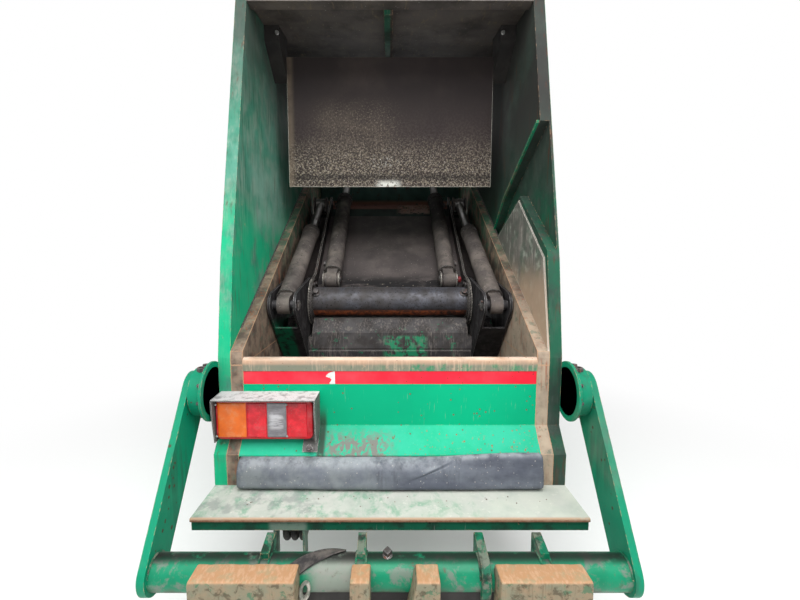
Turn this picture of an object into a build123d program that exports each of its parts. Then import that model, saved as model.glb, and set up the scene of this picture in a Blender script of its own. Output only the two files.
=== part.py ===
from build123d import *
import math
import os

# Rear loader tailgate: hopper, packing mechanism and bin lift, in millimetres.
# X is right seen from behind, Y is forward to the truck, Z is up.
# The origin is the middle of the top hinge pin's axis.

os.makedirs("parts", exist_ok=True)

# Widths, each measured from the centre plane
OUTER_HALF = 700
WALL = 50
LINER = 50
SIDE_GAP = 7
UPPER_HALF = OUTER_HALF - WALL
LOWER_HALF = UPPER_HALF - LINER
BLADE_HALF = LOWER_HALF - SIDE_GAP

# Gaps between pieces
SEAT = 0.3
RUNNING = 0.05
MOVING = 5

# Thickness of a strip that a hull starts from, and the reach of a cut that runs right past a piece
ROOT = 1
BEYOND = 1000

# Front plane, where the tailgate shuts against the truck's body
SEAL = 15
FRONT_Y = -SEAL
GIRDER = 45
GIRDER_Y = FRONT_Y - GIRDER
GIRDER_TOP = -450
GIRDER_BOTTOM = -1030

# Roof
HEADER_Y = -1710
HEADER_Z = -274
HEADER_DEPTH = 70
HEADER_DROP = 16
ROOF_PITCH = 5.6
ROOF_THICK = 40
RIB_WIDTH = 42
RIB_DROP = 40
RIB_X = -8
RIB_END_GAP = 40
RIB_END_SLOPE = 20
ROOF_END_Y = HEADER_Y + 10
ROOF_RIB_WIDE = 70
ROOF_RIB_HIGH = 20
ROOF_RIB_ANGLE = 65
ROOF_RIB_YS = [-480, -880, -1280]

# Pressed ribs on the outside of the side walls, each with its place, its lower end and its upper end
RIB_PROUD = 20
RIB_WALL_WIDE = 120
RIB_WALL_ROUND = 36
RIB_DRAFT = 25
WALL_RIBS = [(-720, -2000, -340), (-1120, -2160, -380), (-1520, -2280, -420)]

# Slide of the carriage and hinge of the blade
SLIDE_ANGLE = 36
HINGE_Y = -1380
HINGE_Z = -1700
SLIDE_DOWN = 200
SLIDE_UP = 400
BLADE_R = 560
TIP_GAP = 12
TUBE_CLEARANCE = 8
COS = math.cos(math.radians(SLIDE_ANGLE))
SIN = math.sin(math.radians(SLIDE_ANGLE))

# Trough, an arc about the lowest place of the hinge and a ramp to the front
TROUGH_R = BLADE_R + TIP_GAP
TROUGH_THICK = 10
TROUGH_OUT_R = TROUGH_R + TROUGH_THICK
BELLY_LIP = 23
BELLY_R = TROUGH_OUT_R + BELLY_LIP
RAMP_ANGLE = 20
RAMP_TAN = math.tan(math.radians(RAMP_ANGLE))
FOOT_HIGH = 89
FOOT_DEEP = 60

# Rear edge of the side walls, from the header to the sill
SILL_GAP = 2
SILL_Y = HINGE_Y - SLIDE_DOWN * COS - TROUGH_OUT_R - SILL_GAP
SILL_TOP = -1850
CORNER_IN = 66
CORNER_Y = SILL_Y + CORNER_IN
CORNER_Z = -1450
LIP_HIGH = 54
LIP_DEEP = 40
LIP_PROUD = 4
LIP_ROUND = 18
FACE_BOTTOM = -2133
APRON_OUT = 80
APRON_DROP = 90
APRON_EDGE = 6

# Ledge and buffer behind the sill
LEDGE_THICK = 12
LEDGE_OUT = 297
LEDGE_IN = 166
LEDGE_Y = SILL_Y - LEDGE_OUT
LEDGE_FRONT_Y = SILL_Y + LEDGE_IN
BEAM_BOTTOM = -2400
BEAM_SHEET = 8
BEAM_FLANGE = 60
BEAM_SET_IN = 12
BUFFER_R = 60
BUFFER_OUT = 74
BUFFER_END_GAP = 2
BUFFER_Y = SILL_Y - BUFFER_OUT
NOTCH_XS = [-177, 138, 454]
NOTCH_WIDE = 17
NOTCH_HIGH = 17

# Guide rails, whose top edge runs from a low rear point to a high front one
RAIL_REAR_IN = 316
RAIL_TOP_REAR = (SILL_Y + RAIL_REAR_IN, -1641)
RAIL_TOP_FRONT = (-953, -1140)
RAIL_LOW = -170
RAIL_SPLIT_Z = -1880
SLOT_LOW = -145
SLOT_HIGH = -80
SLOT_START = -30
SLOT_END = 1390

# Recess of the right wall: the upper edge falls forward, the lower plate has a point
RECESS_DEEP = 40
RECESS_TOP = [(-1980, -820), (-1380, -1120), (-1020, -1405)]
RECESS_POINT = (-1657, -1139)
RECESS_REAR = (CORNER_Y - 96, -1488)
RECESS_FLANGE = 12
RECESS_FLANGE_END = (RECESS_TOP[0][0] + 80, RECESS_TOP[0][1] - 40)
WEAR_PLATE = 8
WEAR_INSET = 26
WEAR_REAR = (CORNER_Y + 30, -1444)

# Cylinders
BARREL_R = 50
ROD_R = 28
EYE_WIDE = 60
EYE_R = 45
EYE_BLOCK = 67.5
EYE_SHOULDER = 16
PIN_R = 25
BORE_GAP = 4
BORE_FLOOR = 34
GLAND_LONG = 30
ROD_END_GAP = 5
COLLAR_LONG = 46
COLLAR_PROUD = 5
PORT_R = 15
PORT_HIGH = 14
PORT_ROOT = 10
PORT_BORE_R = 8
PORT_INSET = 90

# Arms of the blade, each a pair of plates round a cylinder
ARM_PLATE = 12
ARM_GAP = 6
ARM_OUTER_X = BLADE_HALF - ARM_PLATE
ARM_INNER_X = ARM_OUTER_X - 2 * (BARREL_R + ARM_GAP) - ARM_PLATE
ARM_HUB_R = 138
EAR_Y = -340
EAR_Z = 20
EAR_R = 65
ARM_FOOT_Y = -90
ARM_FOOT_Z = -335
ARM_FOOT_R = 2
ARM_FLANGE = 8
ARM_FLANGE_START = 0.25

# Carriage
DECK_START = 105
DECK_END = 1110
SIDE_PLATE = 12
DECK_HALF = ARM_INNER_X - MOVING - SIDE_PLATE
CARRIAGE_LOW = -150
WING_HIGH = -70
WING_GAP = 15
WING_HALF = LOWER_HALF - WING_GAP
CARRIAGE_SHEET = 12
SIDE_PLATE_HIGH = 70
BOSS_R = 132
BOSS_NECK = 60
BOSS_TEETH = 52
BOSS_NOTCH_R = 4.5
WING_START = 160
SHOE_STARTS = [200, 840]
SHOE_LONG = 120
SHOE_END_GAP = 10
SHOE_OUT = UPPER_HALF - SHOE_END_GAP
SHOE_GAP = 3

# Blade
TUBE_R = 84
HINGE_PIN_R = 40
HINGE_PIN_PROUD = 1
BLADE_OUTLINE = [
    (-40, -90), (-95, -165), (-110, -250), (-100, -330),
    (-12, 2 - BLADE_R), (8, 1 - BLADE_R), (90, -300), (85, -120), (60, -90),
]
BLADE_FOLD_DEEP = 5
BLADE_FOLD_TOP = -262
BLADE_FOLD_LOW = -318

# Places and lengths of the cylinders
BLADE_CYL_X = ARM_OUTER_X - BARREL_R - ARM_GAP
BLADE_BARREL = 860
ANCHOR_U = 1066
ANCHOR_N = 30
BRACKET_PLATE = 12
BRACKET_GAP = 8
BRACKET_RIM = 10
BRACKET_FOOT = 60
STUB_GAP = 1
STUB_PROUD = 4
CARRIAGE_CYL_IN = 99
CARRIAGE_CYL_X = DECK_HALF - CARRIAGE_CYL_IN
CARRIAGE_CYL_N = 75
CARRIAGE_BARREL_R = 51.5
CLEVIS_U = 110
CLEVIS_R = 40
CLEVIS_FOOT = 66
CLEVIS_GAP = 2
LUG_WIDE = 12
LUG_GAP = 3
LUG_FOOT = 150
CARRIAGE_BARREL = 960
ROD_ANCHOR_U = 1565
ROD_INNER_U = 640

# Shield in front of the mechanism
SHIELD_Y = -1340
SHIELD_TOP = -340
SHIELD_BOTTOM = -1044
SHIELD_SIDE_GAP = 75
SHIELD_HALF = UPPER_HALF - SHIELD_SIDE_GAP
SHIELD_THICK = 8
SHIELD_FOLD = 25
HANGER_Y = -1500
HANGER_FRONT_LOW = SHIELD_TOP - 130
HANGER_REAR_LOW = SHIELD_TOP + 10

# Tail lamp on the left
LAMP_LONG = 390
LAMP_INSET = 15
LAMP_LEFT = -OUTER_HALF + LAMP_INSET
LAMP_RIGHT = LAMP_LEFT + LAMP_LONG
LAMP_TOP = -1994
LAMP_BOTTOM = -2158
LAMP_DEEP = 92
LENS_DEEP = 14
LENS_GAP = 2
LENS_MARGIN = 6
LENS_ROUND = 4
HOOD_THICK = 5
HOOD_DEEP = 114
HOOD_PROUD = 6
LAMP_SPLITS = [LAMP_LEFT + run for run in (7, 125, 210, 283, 383)]
POST_WIDE = 60
POST_THICK = 8
POST_BOTTOM = -2212
CHEEK_FRONT = 40
CHEEK_DROP = 10

# Top hinge, lower lock and raising pins
HINGE_LUG_X = 450
HINGE_LUG_WIDE = 40
HINGE_LUG_R = 60
HINGE_BORE_R = 20
HINGE_BEAM_TOP = -50
HINGE_BEAM_DEEP = 125
HINGE_FOOT_INSET = 5
LOCK_X = 420
LOCK_WIDE = 30
LOCK_Y = 25
LOCK_DROP = 30
LOCK_R = 15
LOCK_RIM = 20
RAISE_Y = -420
RAISE_Z = -900
RAISE_PIN_R = 25
RAISE_PIN_LONG = 60
RAISE_PAD_R = 70
RAISE_PAD_THICK = 14

# Bin lift
LIFT_OUT = 54
LIFT_REACH = 350
LIFT_Y = SILL_Y - LIFT_OUT
LIFT_Z = -1970
LIFT_TUBE_Y = LIFT_Y - LIFT_REACH
LIFT_TUBE_Z = -2462
LIFT_TUBE_R = 57
LIFT_TUBE_WALL = 8
DRUM_R = 95
DRUM_WIDE = 60
SHAFT_R = 35
SHAFT_PROUD = 5
ARM_WIDE = 25
LIFT_ARM_GAP = 3
LIFT_HUB_R = 80
LIFT_END_R = 70
HOOK_XS = [-403, -93, 300, 498]
HOOK_WIDE = 28
HOOK_WRAP = 18
HOOK_TIP = (LIFT_TUBE_Y + 64, LIFT_TUBE_Z + 76)
HOOK_TIP_R = 14
COMB_SPANS = [(-LOWER_HALF, -283), (-119, -60), (39, 149), (328, LOWER_HALF)]
COMB_TOP = -2391
COMB_BOTTOM = -2600
COMB_BEHIND = 132
COMB_DEEP = 117
COMB_REAR_Y = LIFT_TUBE_Y - COMB_BEHIND
COMB_FRONT_Y = COMB_REAR_Y + COMB_DEEP
COMB_CHAMFER = 9
COMB_SLANT = 40
COMB_SLANTED = 2

# Hoses under the ledge, and the bracket that they hang in
HOSE_R = 12
HOSE_XS = [-388, -358, -328]
HOSE_IN = 89
HOSE_REAR_Y = LEDGE_Y + HOSE_IN
HOSE_BEND = 45
HOSE_LEG = 95
BRACKET_SIDES = [-414, -311]
BRACKET_SHEET = 8
BRACKET_DEEP = 60
BRACKET_BOTTOM = -2520


def ceiling(y):
    """Height of the roof's underside at a place along the tailgate."""
    return HEADER_Z + (y - HEADER_Y) * math.tan(math.radians(ROOF_PITCH))


def slide_point(u, n):
    """Side view point that is u up the slide from the blade's hinge and n square to it."""
    return (HINGE_Y + u * COS - n * SIN, HINGE_Z + u * SIN + n * COS)


def line_crossing(p, q, r, s):
    """Point where the line through p and q meets the line through r and s."""
    dx, dy = q[0] - p[0], q[1] - p[1]
    ex, ey = s[0] - r[0], s[1] - r[1]
    t = ((r[0] - p[0]) * ey - (r[1] - p[1]) * ex) / (dx * ey - dy * ex)
    return (p[0] + t * dx, p[1] + t * dy)


def side_view(x):
    """Plane at x whose sketch runs along Y and Z and which faces +X."""
    return Plane(origin=(x, 0, 0), x_dir=(0, 1, 0), z_dir=(1, 0, 0))


def slide_view(x):
    """Plane at x whose sketch runs up the slide and square to it, about the hinge."""
    return Plane(origin=(x, HINGE_Y, HINGE_Z), x_dir=(0, COS, SIN), z_dir=(1, 0, 0))


def hinge_view(x):
    """Plane at x whose sketch runs along Y and Z from the blade's hinge."""
    return Plane(origin=(x, HINGE_Y, HINGE_Z), x_dir=(0, 1, 0), z_dir=(1, 0, 0))


def lift_view(x):
    """Plane at x whose sketch runs along Y and Z from the bin lift's pivot."""
    return Plane(origin=(x, LIFT_Y, LIFT_Z), x_dir=(0, 1, 0), z_dir=(1, 0, 0))


def save(piece, name):
    """Labels a finished piece and writes its file."""
    piece.label = name
    export_step(piece, f"parts/{name}.step")


# Places that several pieces share
LOW_HINGE = slide_point(-SLIDE_DOWN, 0)
BELLY_END = 270 + RAMP_ANGLE
LIP_BOTTOM = SILL_TOP - LIP_HIGH
APRON_Y = SILL_Y - APRON_OUT
APRON_BOTTOM = FACE_BOTTOM - APRON_DROP
SILL_UNDER = APRON_BOTTOM - APRON_EDGE
LEDGE_TOP = SILL_UNDER - 2 * (BUFFER_R + SEAT)
BEAM_TOP = LEDGE_TOP - LEDGE_THICK
REAR_TOP_Y = ROOF_END_Y - HEADER_DEPTH
HEADER_BOTTOM = HEADER_Z - HEADER_DROP


def ramp_height(radius, y):
    """Height, at y, of the straight line that leaves the arc of a radius at the ramp's foot."""
    foot_y = LOW_HINGE[0] + radius * math.cos(math.radians(BELLY_END))
    foot_z = LOW_HINGE[1] + radius * math.sin(math.radians(BELLY_END))
    return foot_z + (y - foot_y) * RAMP_TAN


FOOT_Y = FRONT_Y - FOOT_DEEP
FOOT_Z = round(ramp_height(TROUGH_OUT_R, FRONT_Y) - FOOT_HIGH)
LOCK_Z = FOOT_Z - LOCK_DROP


def apron_y(z):
    """Place of the apron's outer face at a height below the upright face."""
    return SILL_Y - (FACE_BOTTOM - z) * APRON_OUT / APRON_DROP


def arc_angle(radius, z):
    """Angle at which the rear half of the arc of a radius is at height z."""
    return 180 + math.degrees(math.asin((LOW_HINGE[1] - z) / radius))


RAIL_REAR = line_crossing(RAIL_TOP_REAR, RAIL_TOP_FRONT, (CORNER_Y, CORNER_Z), (SILL_Y, SILL_TOP))
RAIL_TOP_END = line_crossing(RAIL_TOP_REAR, RAIL_TOP_FRONT, (GIRDER_Y, 0), (GIRDER_Y, 1))
RAIL_LOW_END = line_crossing(slide_point(0, RAIL_LOW), slide_point(1, RAIL_LOW), (GIRDER_Y, 0), (GIRDER_Y, 1))
RAIL_KNEE = line_crossing(
    slide_point(0, RAIL_LOW), slide_point(1, RAIL_LOW), (0, RAIL_SPLIT_Z), (1, RAIL_SPLIT_Z)
)


def belly_face(upper_points):
    """Side view face over the belly's arc and ramp, closed by points from front to rear."""
    start = arc_angle(BELLY_R, BEAM_BOTTOM)
    with BuildSketch() as face:
        with BuildLine():
            belly = CenterArc(LOW_HINGE, BELLY_R, start, BELLY_END - start)
            Polyline(
                belly @ 1,
                (FOOT_Y, ramp_height(BELLY_R, FOOT_Y)),
                (FOOT_Y, FOOT_Z),
                (FRONT_Y, FOOT_Z),
                *upper_points,
                (SILL_Y, FACE_BOTTOM),
                (APRON_Y, APRON_BOTTOM),
                (APRON_Y, BEAM_BOTTOM),
                belly @ 0,
            )
        make_face()
    return face.sketch


WALL_TOP = [
    (FRONT_Y, ceiling(FRONT_Y) + ROOF_THICK),
    (REAR_TOP_Y, ceiling(REAR_TOP_Y) + ROOF_THICK),
    (REAR_TOP_Y, HEADER_BOTTOM),
    (CORNER_Y, CORNER_Z),
    (SILL_Y, SILL_TOP),
]


def plain_wall():
    """Right side wall without its recess: the whole hollow wall, with the ribs on its outside."""
    with BuildPart() as wall:
        with BuildSketch(side_view(UPPER_HALF)):
            add(belly_face(WALL_TOP))
        extrude(amount=WALL)
        with BuildSketch(side_view(OUTER_HALF)):
            for y, low, high in WALL_RIBS:
                with Locations((y, (low + high) / 2)):
                    RectangleRounded(RIB_WALL_WIDE, high - low, RIB_WALL_ROUND)
        extrude(amount=RIB_PROUD, taper=RIB_DRAFT)
    return wall.part


# Side walls, each as thick as the whole hollow wall; the right one's inner skin is cut away
# below a flange that stands in from it
with BuildPart() as left_side_wall:
    add(mirror(plain_wall(), about=Plane.YZ))
save(left_side_wall.part, "left_side_wall")

RECESS_EDGE = [RECESS_FLANGE_END, *RECESS_TOP[1:]]
with BuildPart() as right_side_wall:
    add(plain_wall())
    with BuildSketch(side_view(UPPER_HALF - RECESS_FLANGE)):
        Polygon(*RECESS_EDGE, *[(y, z + RECESS_FLANGE) for y, z in reversed(RECESS_EDGE)], align=None)
        Polygon(RAIL_REAR, RAIL_TOP_END, RAIL_LOW_END, RAIL_KNEE, align=None, mode=Mode.SUBTRACT)
    extrude(amount=RECESS_FLANGE)
    with BuildSketch(side_view(UPPER_HALF)):
        Polygon(*RECESS_TOP, RECESS_POINT, RECESS_REAR, align=None)
    extrude(amount=RECESS_DEEP, mode=Mode.SUBTRACT)
save(right_side_wall.part, "right_side_wall")

# Wear plate on the right wall, pointed like the recess and set a little below its edge
WEAR_POINT = (RECESS_POINT[0], RECESS_POINT[1] - WEAR_INSET)
WEAR_FRONT = line_crossing(
    WEAR_POINT, (RECESS_TOP[2][0], RECESS_TOP[2][1] - WEAR_INSET), RAIL_TOP_REAR, RAIL_TOP_FRONT
)
with BuildPart() as right_wear_plate:
    with BuildSketch(side_view(UPPER_HALF - WEAR_PLATE)):
        Polygon(WEAR_POINT, WEAR_FRONT, RAIL_REAR, WEAR_REAR, align=None)
    extrude(amount=WEAR_PLATE)
save(right_wear_plate.part, "right_wear_plate")


def guide_rail(x):
    """Guide rail from x outwards by the liner's thickness, with the slot for the shoes."""
    with BuildPart() as rail:
        with BuildSketch(side_view(x)):
            Polygon(
                RAIL_REAR, RAIL_TOP_END, RAIL_LOW_END, RAIL_KNEE, (SILL_Y, RAIL_SPLIT_Z),
                (SILL_Y, SILL_TOP), align=None,
            )
        extrude(amount=LINER)
        with BuildSketch(slide_view(x)):
            with Locations(((SLOT_START + SLOT_END) / 2, (SLOT_LOW + SLOT_HIGH) / 2)):
                Rectangle(SLOT_END - SLOT_START, SLOT_HIGH - SLOT_LOW)
        extrude(amount=LINER, mode=Mode.SUBTRACT)
    return rail.part


save(guide_rail(-UPPER_HALF), "left_guide_rail")
save(guide_rail(LOWER_HALF), "right_guide_rail")

SIDE_PLATE_TOP = [
    (FRONT_Y, GIRDER_BOTTOM),
    (GIRDER_Y, GIRDER_BOTTOM),
    RAIL_LOW_END,
    RAIL_KNEE,
    (SILL_Y, RAIL_SPLIT_Z),
]
with BuildPart() as hopper_side_plates:
    with BuildSketch(side_view(LOWER_HALF)):
        add(belly_face(SIDE_PLATE_TOP))
    extrude(amount=LINER)
    mirror(about=Plane.YZ)
save(hopper_side_plates.part, "hopper_side_plates")

# Trough between the side plates: an arc from the lip to the ramp's foot, then the ramp
IN_START = arc_angle(TROUGH_R, LIP_BOTTOM)
OUT_START = arc_angle(TROUGH_OUT_R, LIP_BOTTOM)
with BuildPart() as hopper_trough:
    with BuildSketch(side_view(-LOWER_HALF)):
        with BuildLine():
            inner = CenterArc(LOW_HINGE, TROUGH_R, IN_START, BELLY_END - IN_START)
            outer = CenterArc(LOW_HINGE, TROUGH_OUT_R, OUT_START, BELLY_END - OUT_START)
            Polyline(
                inner @ 1,
                (FRONT_Y, ramp_height(TROUGH_R, FRONT_Y)),
                (FRONT_Y, ramp_height(TROUGH_OUT_R, FRONT_Y)),
                outer @ 1,
            )
            Line(inner @ 0, outer @ 0)
        make_face()
    extrude(amount=2 * LOWER_HALF)
save(hopper_trough.part, "hopper_trough")

# Rear sill: upright face, apron that leans out, and the closed box behind them
SILL_HEEL_Y = BUFFER_Y + BUFFER_R + SEAT
SILL_IN_R = TROUGH_OUT_R + SEAT
SILL_START = arc_angle(SILL_IN_R, LIP_BOTTOM)
SILL_END = arc_angle(SILL_IN_R, LEDGE_TOP)
with BuildPart() as rear_sill:
    with BuildSketch(side_view(-LOWER_HALF)):
        with BuildLine():
            back = CenterArc(LOW_HINGE, SILL_IN_R, SILL_START, SILL_END - SILL_START)
            Polyline(
                back @ 0,
                (SILL_Y, LIP_BOTTOM),
                (SILL_Y, FACE_BOTTOM),
                (APRON_Y, APRON_BOTTOM),
                (APRON_Y, SILL_UNDER),
                (SILL_HEEL_Y, SILL_UNDER),
                (SILL_HEEL_Y, LEDGE_TOP),
                back @ 1,
            )
        make_face()
    extrude(amount=2 * LOWER_HALF)
save(rear_sill.part, "rear_sill")

with BuildPart() as sill_lip:
    with BuildSketch(side_view(-LOWER_HALF)):
        with Locations((SILL_Y - LIP_PROUD, LIP_BOTTOM)):
            Rectangle(LIP_DEEP, LIP_HIGH, align=(Align.MIN, Align.MIN))
    extrude(amount=2 * LOWER_HALF)
    fillet(sill_lip.edges().filter_by(Axis.X).group_by(Axis.Z)[-1], LIP_ROUND)
save(sill_lip.part, "sill_lip")

# Ledge behind the sill, its beam and the rubber buffer that lies on it
with BuildPart() as buffer_ledge:
    with BuildSketch(Plane.XY.offset(LEDGE_TOP - LEDGE_THICK)):
        with Locations((0, LEDGE_Y)):
            Rectangle(2 * OUTER_HALF, APRON_Y - LEDGE_Y, align=(Align.CENTER, Align.MIN))
            Rectangle(2 * LOWER_HALF, LEDGE_FRONT_Y - LEDGE_Y, align=(Align.CENTER, Align.MIN))
    extrude(amount=LEDGE_THICK)
save(buffer_ledge.part, "buffer_ledge")

# The beam is an angle with notches in its upper edge; the hoses' bracket hangs from it
BEAM_Y = LEDGE_Y + BEAM_SET_IN
with BuildPart() as ledge_beam:
    with BuildSketch(side_view(-OUTER_HALF)):
        with Locations((BEAM_Y, BEAM_BOTTOM)):
            Rectangle(BEAM_SHEET, BEAM_TOP - BEAM_BOTTOM, align=(Align.MIN, Align.MIN))
            Rectangle(BEAM_FLANGE, BEAM_SHEET, align=(Align.MIN, Align.MIN))
    extrude(amount=2 * OUTER_HALF)
    with BuildSketch(Plane.XZ.offset(-BEAM_Y)):
        for x in NOTCH_XS:
            Polygon(
                (x - NOTCH_WIDE / 2, BEAM_TOP),
                (x + NOTCH_WIDE / 2, BEAM_TOP),
                (x, BEAM_TOP - NOTCH_HIGH),
                align=None,
            )
    extrude(amount=-BEAM_SHEET, mode=Mode.SUBTRACT)
    for x in BRACKET_SIDES:
        with BuildSketch(side_view(x)):
            Polygon(
                (BEAM_Y + BEAM_SHEET, BEAM_TOP),
                (BEAM_Y + BEAM_SHEET, BRACKET_BOTTOM + BRACKET_DEEP / 2),
                (BEAM_Y + BRACKET_DEEP / 2, BRACKET_BOTTOM),
                (BEAM_Y + BRACKET_DEEP, BRACKET_BOTTOM),
                (BEAM_Y + BRACKET_DEEP, BEAM_TOP),
                align=None,
            )
        extrude(amount=BRACKET_SHEET)
save(ledge_beam.part, "ledge_beam")

with BuildPart() as buffer_roll:
    with BuildSketch(side_view(-LOWER_HALF + BUFFER_END_GAP)):
        with Locations((BUFFER_Y, LEDGE_TOP + BUFFER_R + SEAT)):
            Circle(BUFFER_R)
    extrude(amount=2 * (LOWER_HALF - BUFFER_END_GAP))
save(buffer_roll.part, "buffer_roll")

# Roof with the beam of the top hinge along its front and ribs across it, header and centre rib
BEAM_REAR_Y = FRONT_Y - HINGE_BEAM_DEEP
with BuildPart() as roof_panel:
    with BuildSketch(side_view(-UPPER_HALF)):
        Polygon(
            (ROOF_END_Y, ceiling(ROOF_END_Y)),
            (FRONT_Y, ceiling(FRONT_Y)),
            (FRONT_Y, HINGE_BEAM_TOP),
            (BEAM_REAR_Y, HINGE_BEAM_TOP),
            (BEAM_REAR_Y, ceiling(BEAM_REAR_Y) + ROOF_THICK),
            (ROOF_END_Y, ceiling(ROOF_END_Y) + ROOF_THICK),
            align=None,
        )
        for y in ROOF_RIB_YS:
            with Locations((y, ceiling(y) + ROOF_THICK)):
                Trapezoid(ROOF_RIB_WIDE, 2 * ROOF_RIB_HIGH, ROOF_RIB_ANGLE)
    extrude(amount=2 * UPPER_HALF)
save(roof_panel.part, "roof_panel")

with BuildPart() as rear_header:
    with BuildSketch(side_view(-UPPER_HALF)):
        Polygon(
            (REAR_TOP_Y, HEADER_BOTTOM),
            (ROOF_END_Y, HEADER_BOTTOM),
            (ROOF_END_Y, ceiling(ROOF_END_Y) + ROOF_THICK),
            (REAR_TOP_Y, ceiling(REAR_TOP_Y) + ROOF_THICK),
            align=None,
        )
    extrude(amount=2 * UPPER_HALF)
save(rear_header.part, "rear_header")

RIB_TOP_END = GIRDER_Y - RIB_END_GAP
RIB_LOW_END = RIB_TOP_END - RIB_END_SLOPE
with BuildPart() as roof_centre_rib:
    with BuildSketch(side_view(RIB_X - RIB_WIDTH / 2)):
        Polygon(
            (ROOF_END_Y, ceiling(ROOF_END_Y)),
            (RIB_TOP_END, ceiling(RIB_TOP_END)),
            (RIB_LOW_END, ceiling(RIB_LOW_END) - RIB_DROP),
            (ROOF_END_Y, ceiling(ROOF_END_Y) - RIB_DROP),
            align=None,
        )
    extrude(amount=RIB_WIDTH)
save(roof_centre_rib.part, "roof_centre_rib")

# Upper crossmember with the lugs and pins that anchor the carriage cylinders
ANCHOR = slide_point(ROD_ANCHOR_U, CARRIAGE_CYL_N)
LUG_IN = EYE_WIDE / 2 + LUG_GAP
with BuildPart() as upper_crossmember:
    with BuildSketch(side_view(-UPPER_HALF)):
        with Locations((GIRDER_Y, GIRDER_BOTTOM)):
            Rectangle(GIRDER, GIRDER_TOP - GIRDER_BOTTOM, align=(Align.MIN, Align.MIN))
    extrude(amount=2 * UPPER_HALF)
    for side in (-1, 1):
        for inner_face in (-LUG_IN - LUG_WIDE, LUG_IN):
            with BuildSketch(side_view(side * CARRIAGE_CYL_X + inner_face)):
                with Locations(ANCHOR):
                    Circle(EYE_R)
                with Locations((GIRDER_Y, ANCHOR[1])):
                    Rectangle(2 * ROOT, LUG_FOOT)
                make_hull()
            extrude(amount=LUG_WIDE)
        with BuildSketch(side_view(side * CARRIAGE_CYL_X - LUG_IN - LUG_WIDE)):
            with Locations(ANCHOR):
                Circle(PIN_R)
        extrude(amount=2 * (LUG_IN + LUG_WIDE))
save(upper_crossmember.part, "upper_crossmember")

# Lower crossmember at the front lip of the trough, with the lock lugs under it
with BuildPart() as lower_crossmember:
    with BuildSketch(side_view(-LOWER_HALF)):
        Polygon(
            (FOOT_Y, FOOT_Z),
            (FRONT_Y, FOOT_Z),
            (FRONT_Y, ramp_height(TROUGH_OUT_R, FRONT_Y) - SEAT),
            (FOOT_Y, ramp_height(TROUGH_OUT_R, FOOT_Y) - SEAT),
            align=None,
        )
    extrude(amount=2 * LOWER_HALF)
save(lower_crossmember.part, "lower_crossmember")

with BuildPart() as lock_lugs:
    for side in (-1, 1):
        with BuildSketch(side_view(side * LOCK_X - LOCK_WIDE / 2)):
            with Locations((LOCK_Y, LOCK_Z)):
                Circle(LOCK_R + LOCK_RIM)
            with Locations((FOOT_Y, FOOT_Z)):
                Rectangle(FOOT_DEEP, ROOT, align=(Align.MIN, Align.MAX))
            make_hull()
            with Locations((LOCK_Y, LOCK_Z)):
                Circle(LOCK_R, mode=Mode.SUBTRACT)
            with Locations((FOOT_Y, FOOT_Z)):
                Rectangle(BEYOND, BEYOND, align=(Align.CENTER, Align.MIN), mode=Mode.SUBTRACT)
        extrude(amount=LOCK_WIDE)
save(lock_lugs.part, "lock_lugs")

# Rubber seal round the passage to the truck's body
SEAL_INSET = 5
SEAL_OUT = OUTER_HALF - SEAL_INSET
SEAL_BAND = 40
SEAL_TOP = -470
SEAL_OVERLAP = 15
SEAL_BOTTOM = FOOT_Z + SEAL_OVERLAP
with BuildPart() as body_seal:
    with BuildSketch(Plane(origin=(0, FRONT_Y, 0), x_dir=(-1, 0, 0), z_dir=(0, 1, 0))):
        with Locations((0, (SEAL_TOP + SEAL_BOTTOM) / 2)):
            Rectangle(2 * SEAL_OUT, SEAL_TOP - SEAL_BOTTOM)
            Rectangle(2 * (SEAL_OUT - SEAL_BAND), SEAL_TOP - SEAL_BOTTOM - 2 * SEAL_BAND, mode=Mode.SUBTRACT)
    extrude(amount=SEAL)
save(body_seal.part, "body_seal")

# Shield plate with folded edges, and its hangers from the roof and walls
with BuildPart() as mechanism_shield:
    with BuildSketch(Plane.XY.offset(SHIELD_BOTTOM)):
        with Locations((0, SHIELD_Y)):
            Rectangle(2 * SHIELD_HALF, SHIELD_FOLD, align=(Align.CENTER, Align.MIN))
        with Locations((0, SHIELD_Y + SHIELD_THICK)):
            Rectangle(
                2 * (SHIELD_HALF - SHIELD_THICK),
                SHIELD_FOLD,
                align=(Align.CENTER, Align.MIN),
                mode=Mode.SUBTRACT,
            )
    extrude(amount=SHIELD_TOP - SHIELD_BOTTOM)
save(mechanism_shield.part, "mechanism_shield")

with BuildPart() as shield_hangers:
    with BuildSketch(side_view(SHIELD_HALF)):
        Polygon(
            (HANGER_Y, ceiling(HANGER_Y)),
            (SHIELD_Y + SHIELD_FOLD, ceiling(SHIELD_Y + SHIELD_FOLD)),
            (SHIELD_Y + SHIELD_FOLD, HANGER_FRONT_LOW),
            (HANGER_Y, HANGER_REAR_LOW),
            align=None,
        )
    extrude(amount=UPPER_HALF - SHIELD_HALF)
    mirror(about=Plane.YZ)
save(shield_hangers.part, "shield_hangers")

# Tail lamp: housing, lenses in line, and the guard with its post
with BuildPart() as tail_lamp_housing:
    with BuildSketch(side_view(LAMP_LEFT)):
        Polygon(
            (SILL_Y, LAMP_TOP),
            (SILL_Y, FACE_BOTTOM),
            (apron_y(LAMP_BOTTOM), LAMP_BOTTOM),
            (SILL_Y - LAMP_DEEP + LENS_DEEP, LAMP_BOTTOM),
            (SILL_Y - LAMP_DEEP + LENS_DEEP, LAMP_TOP),
            align=None,
        )
    extrude(amount=LAMP_RIGHT - LAMP_LEFT)
save(tail_lamp_housing.part, "tail_lamp_housing")


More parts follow.
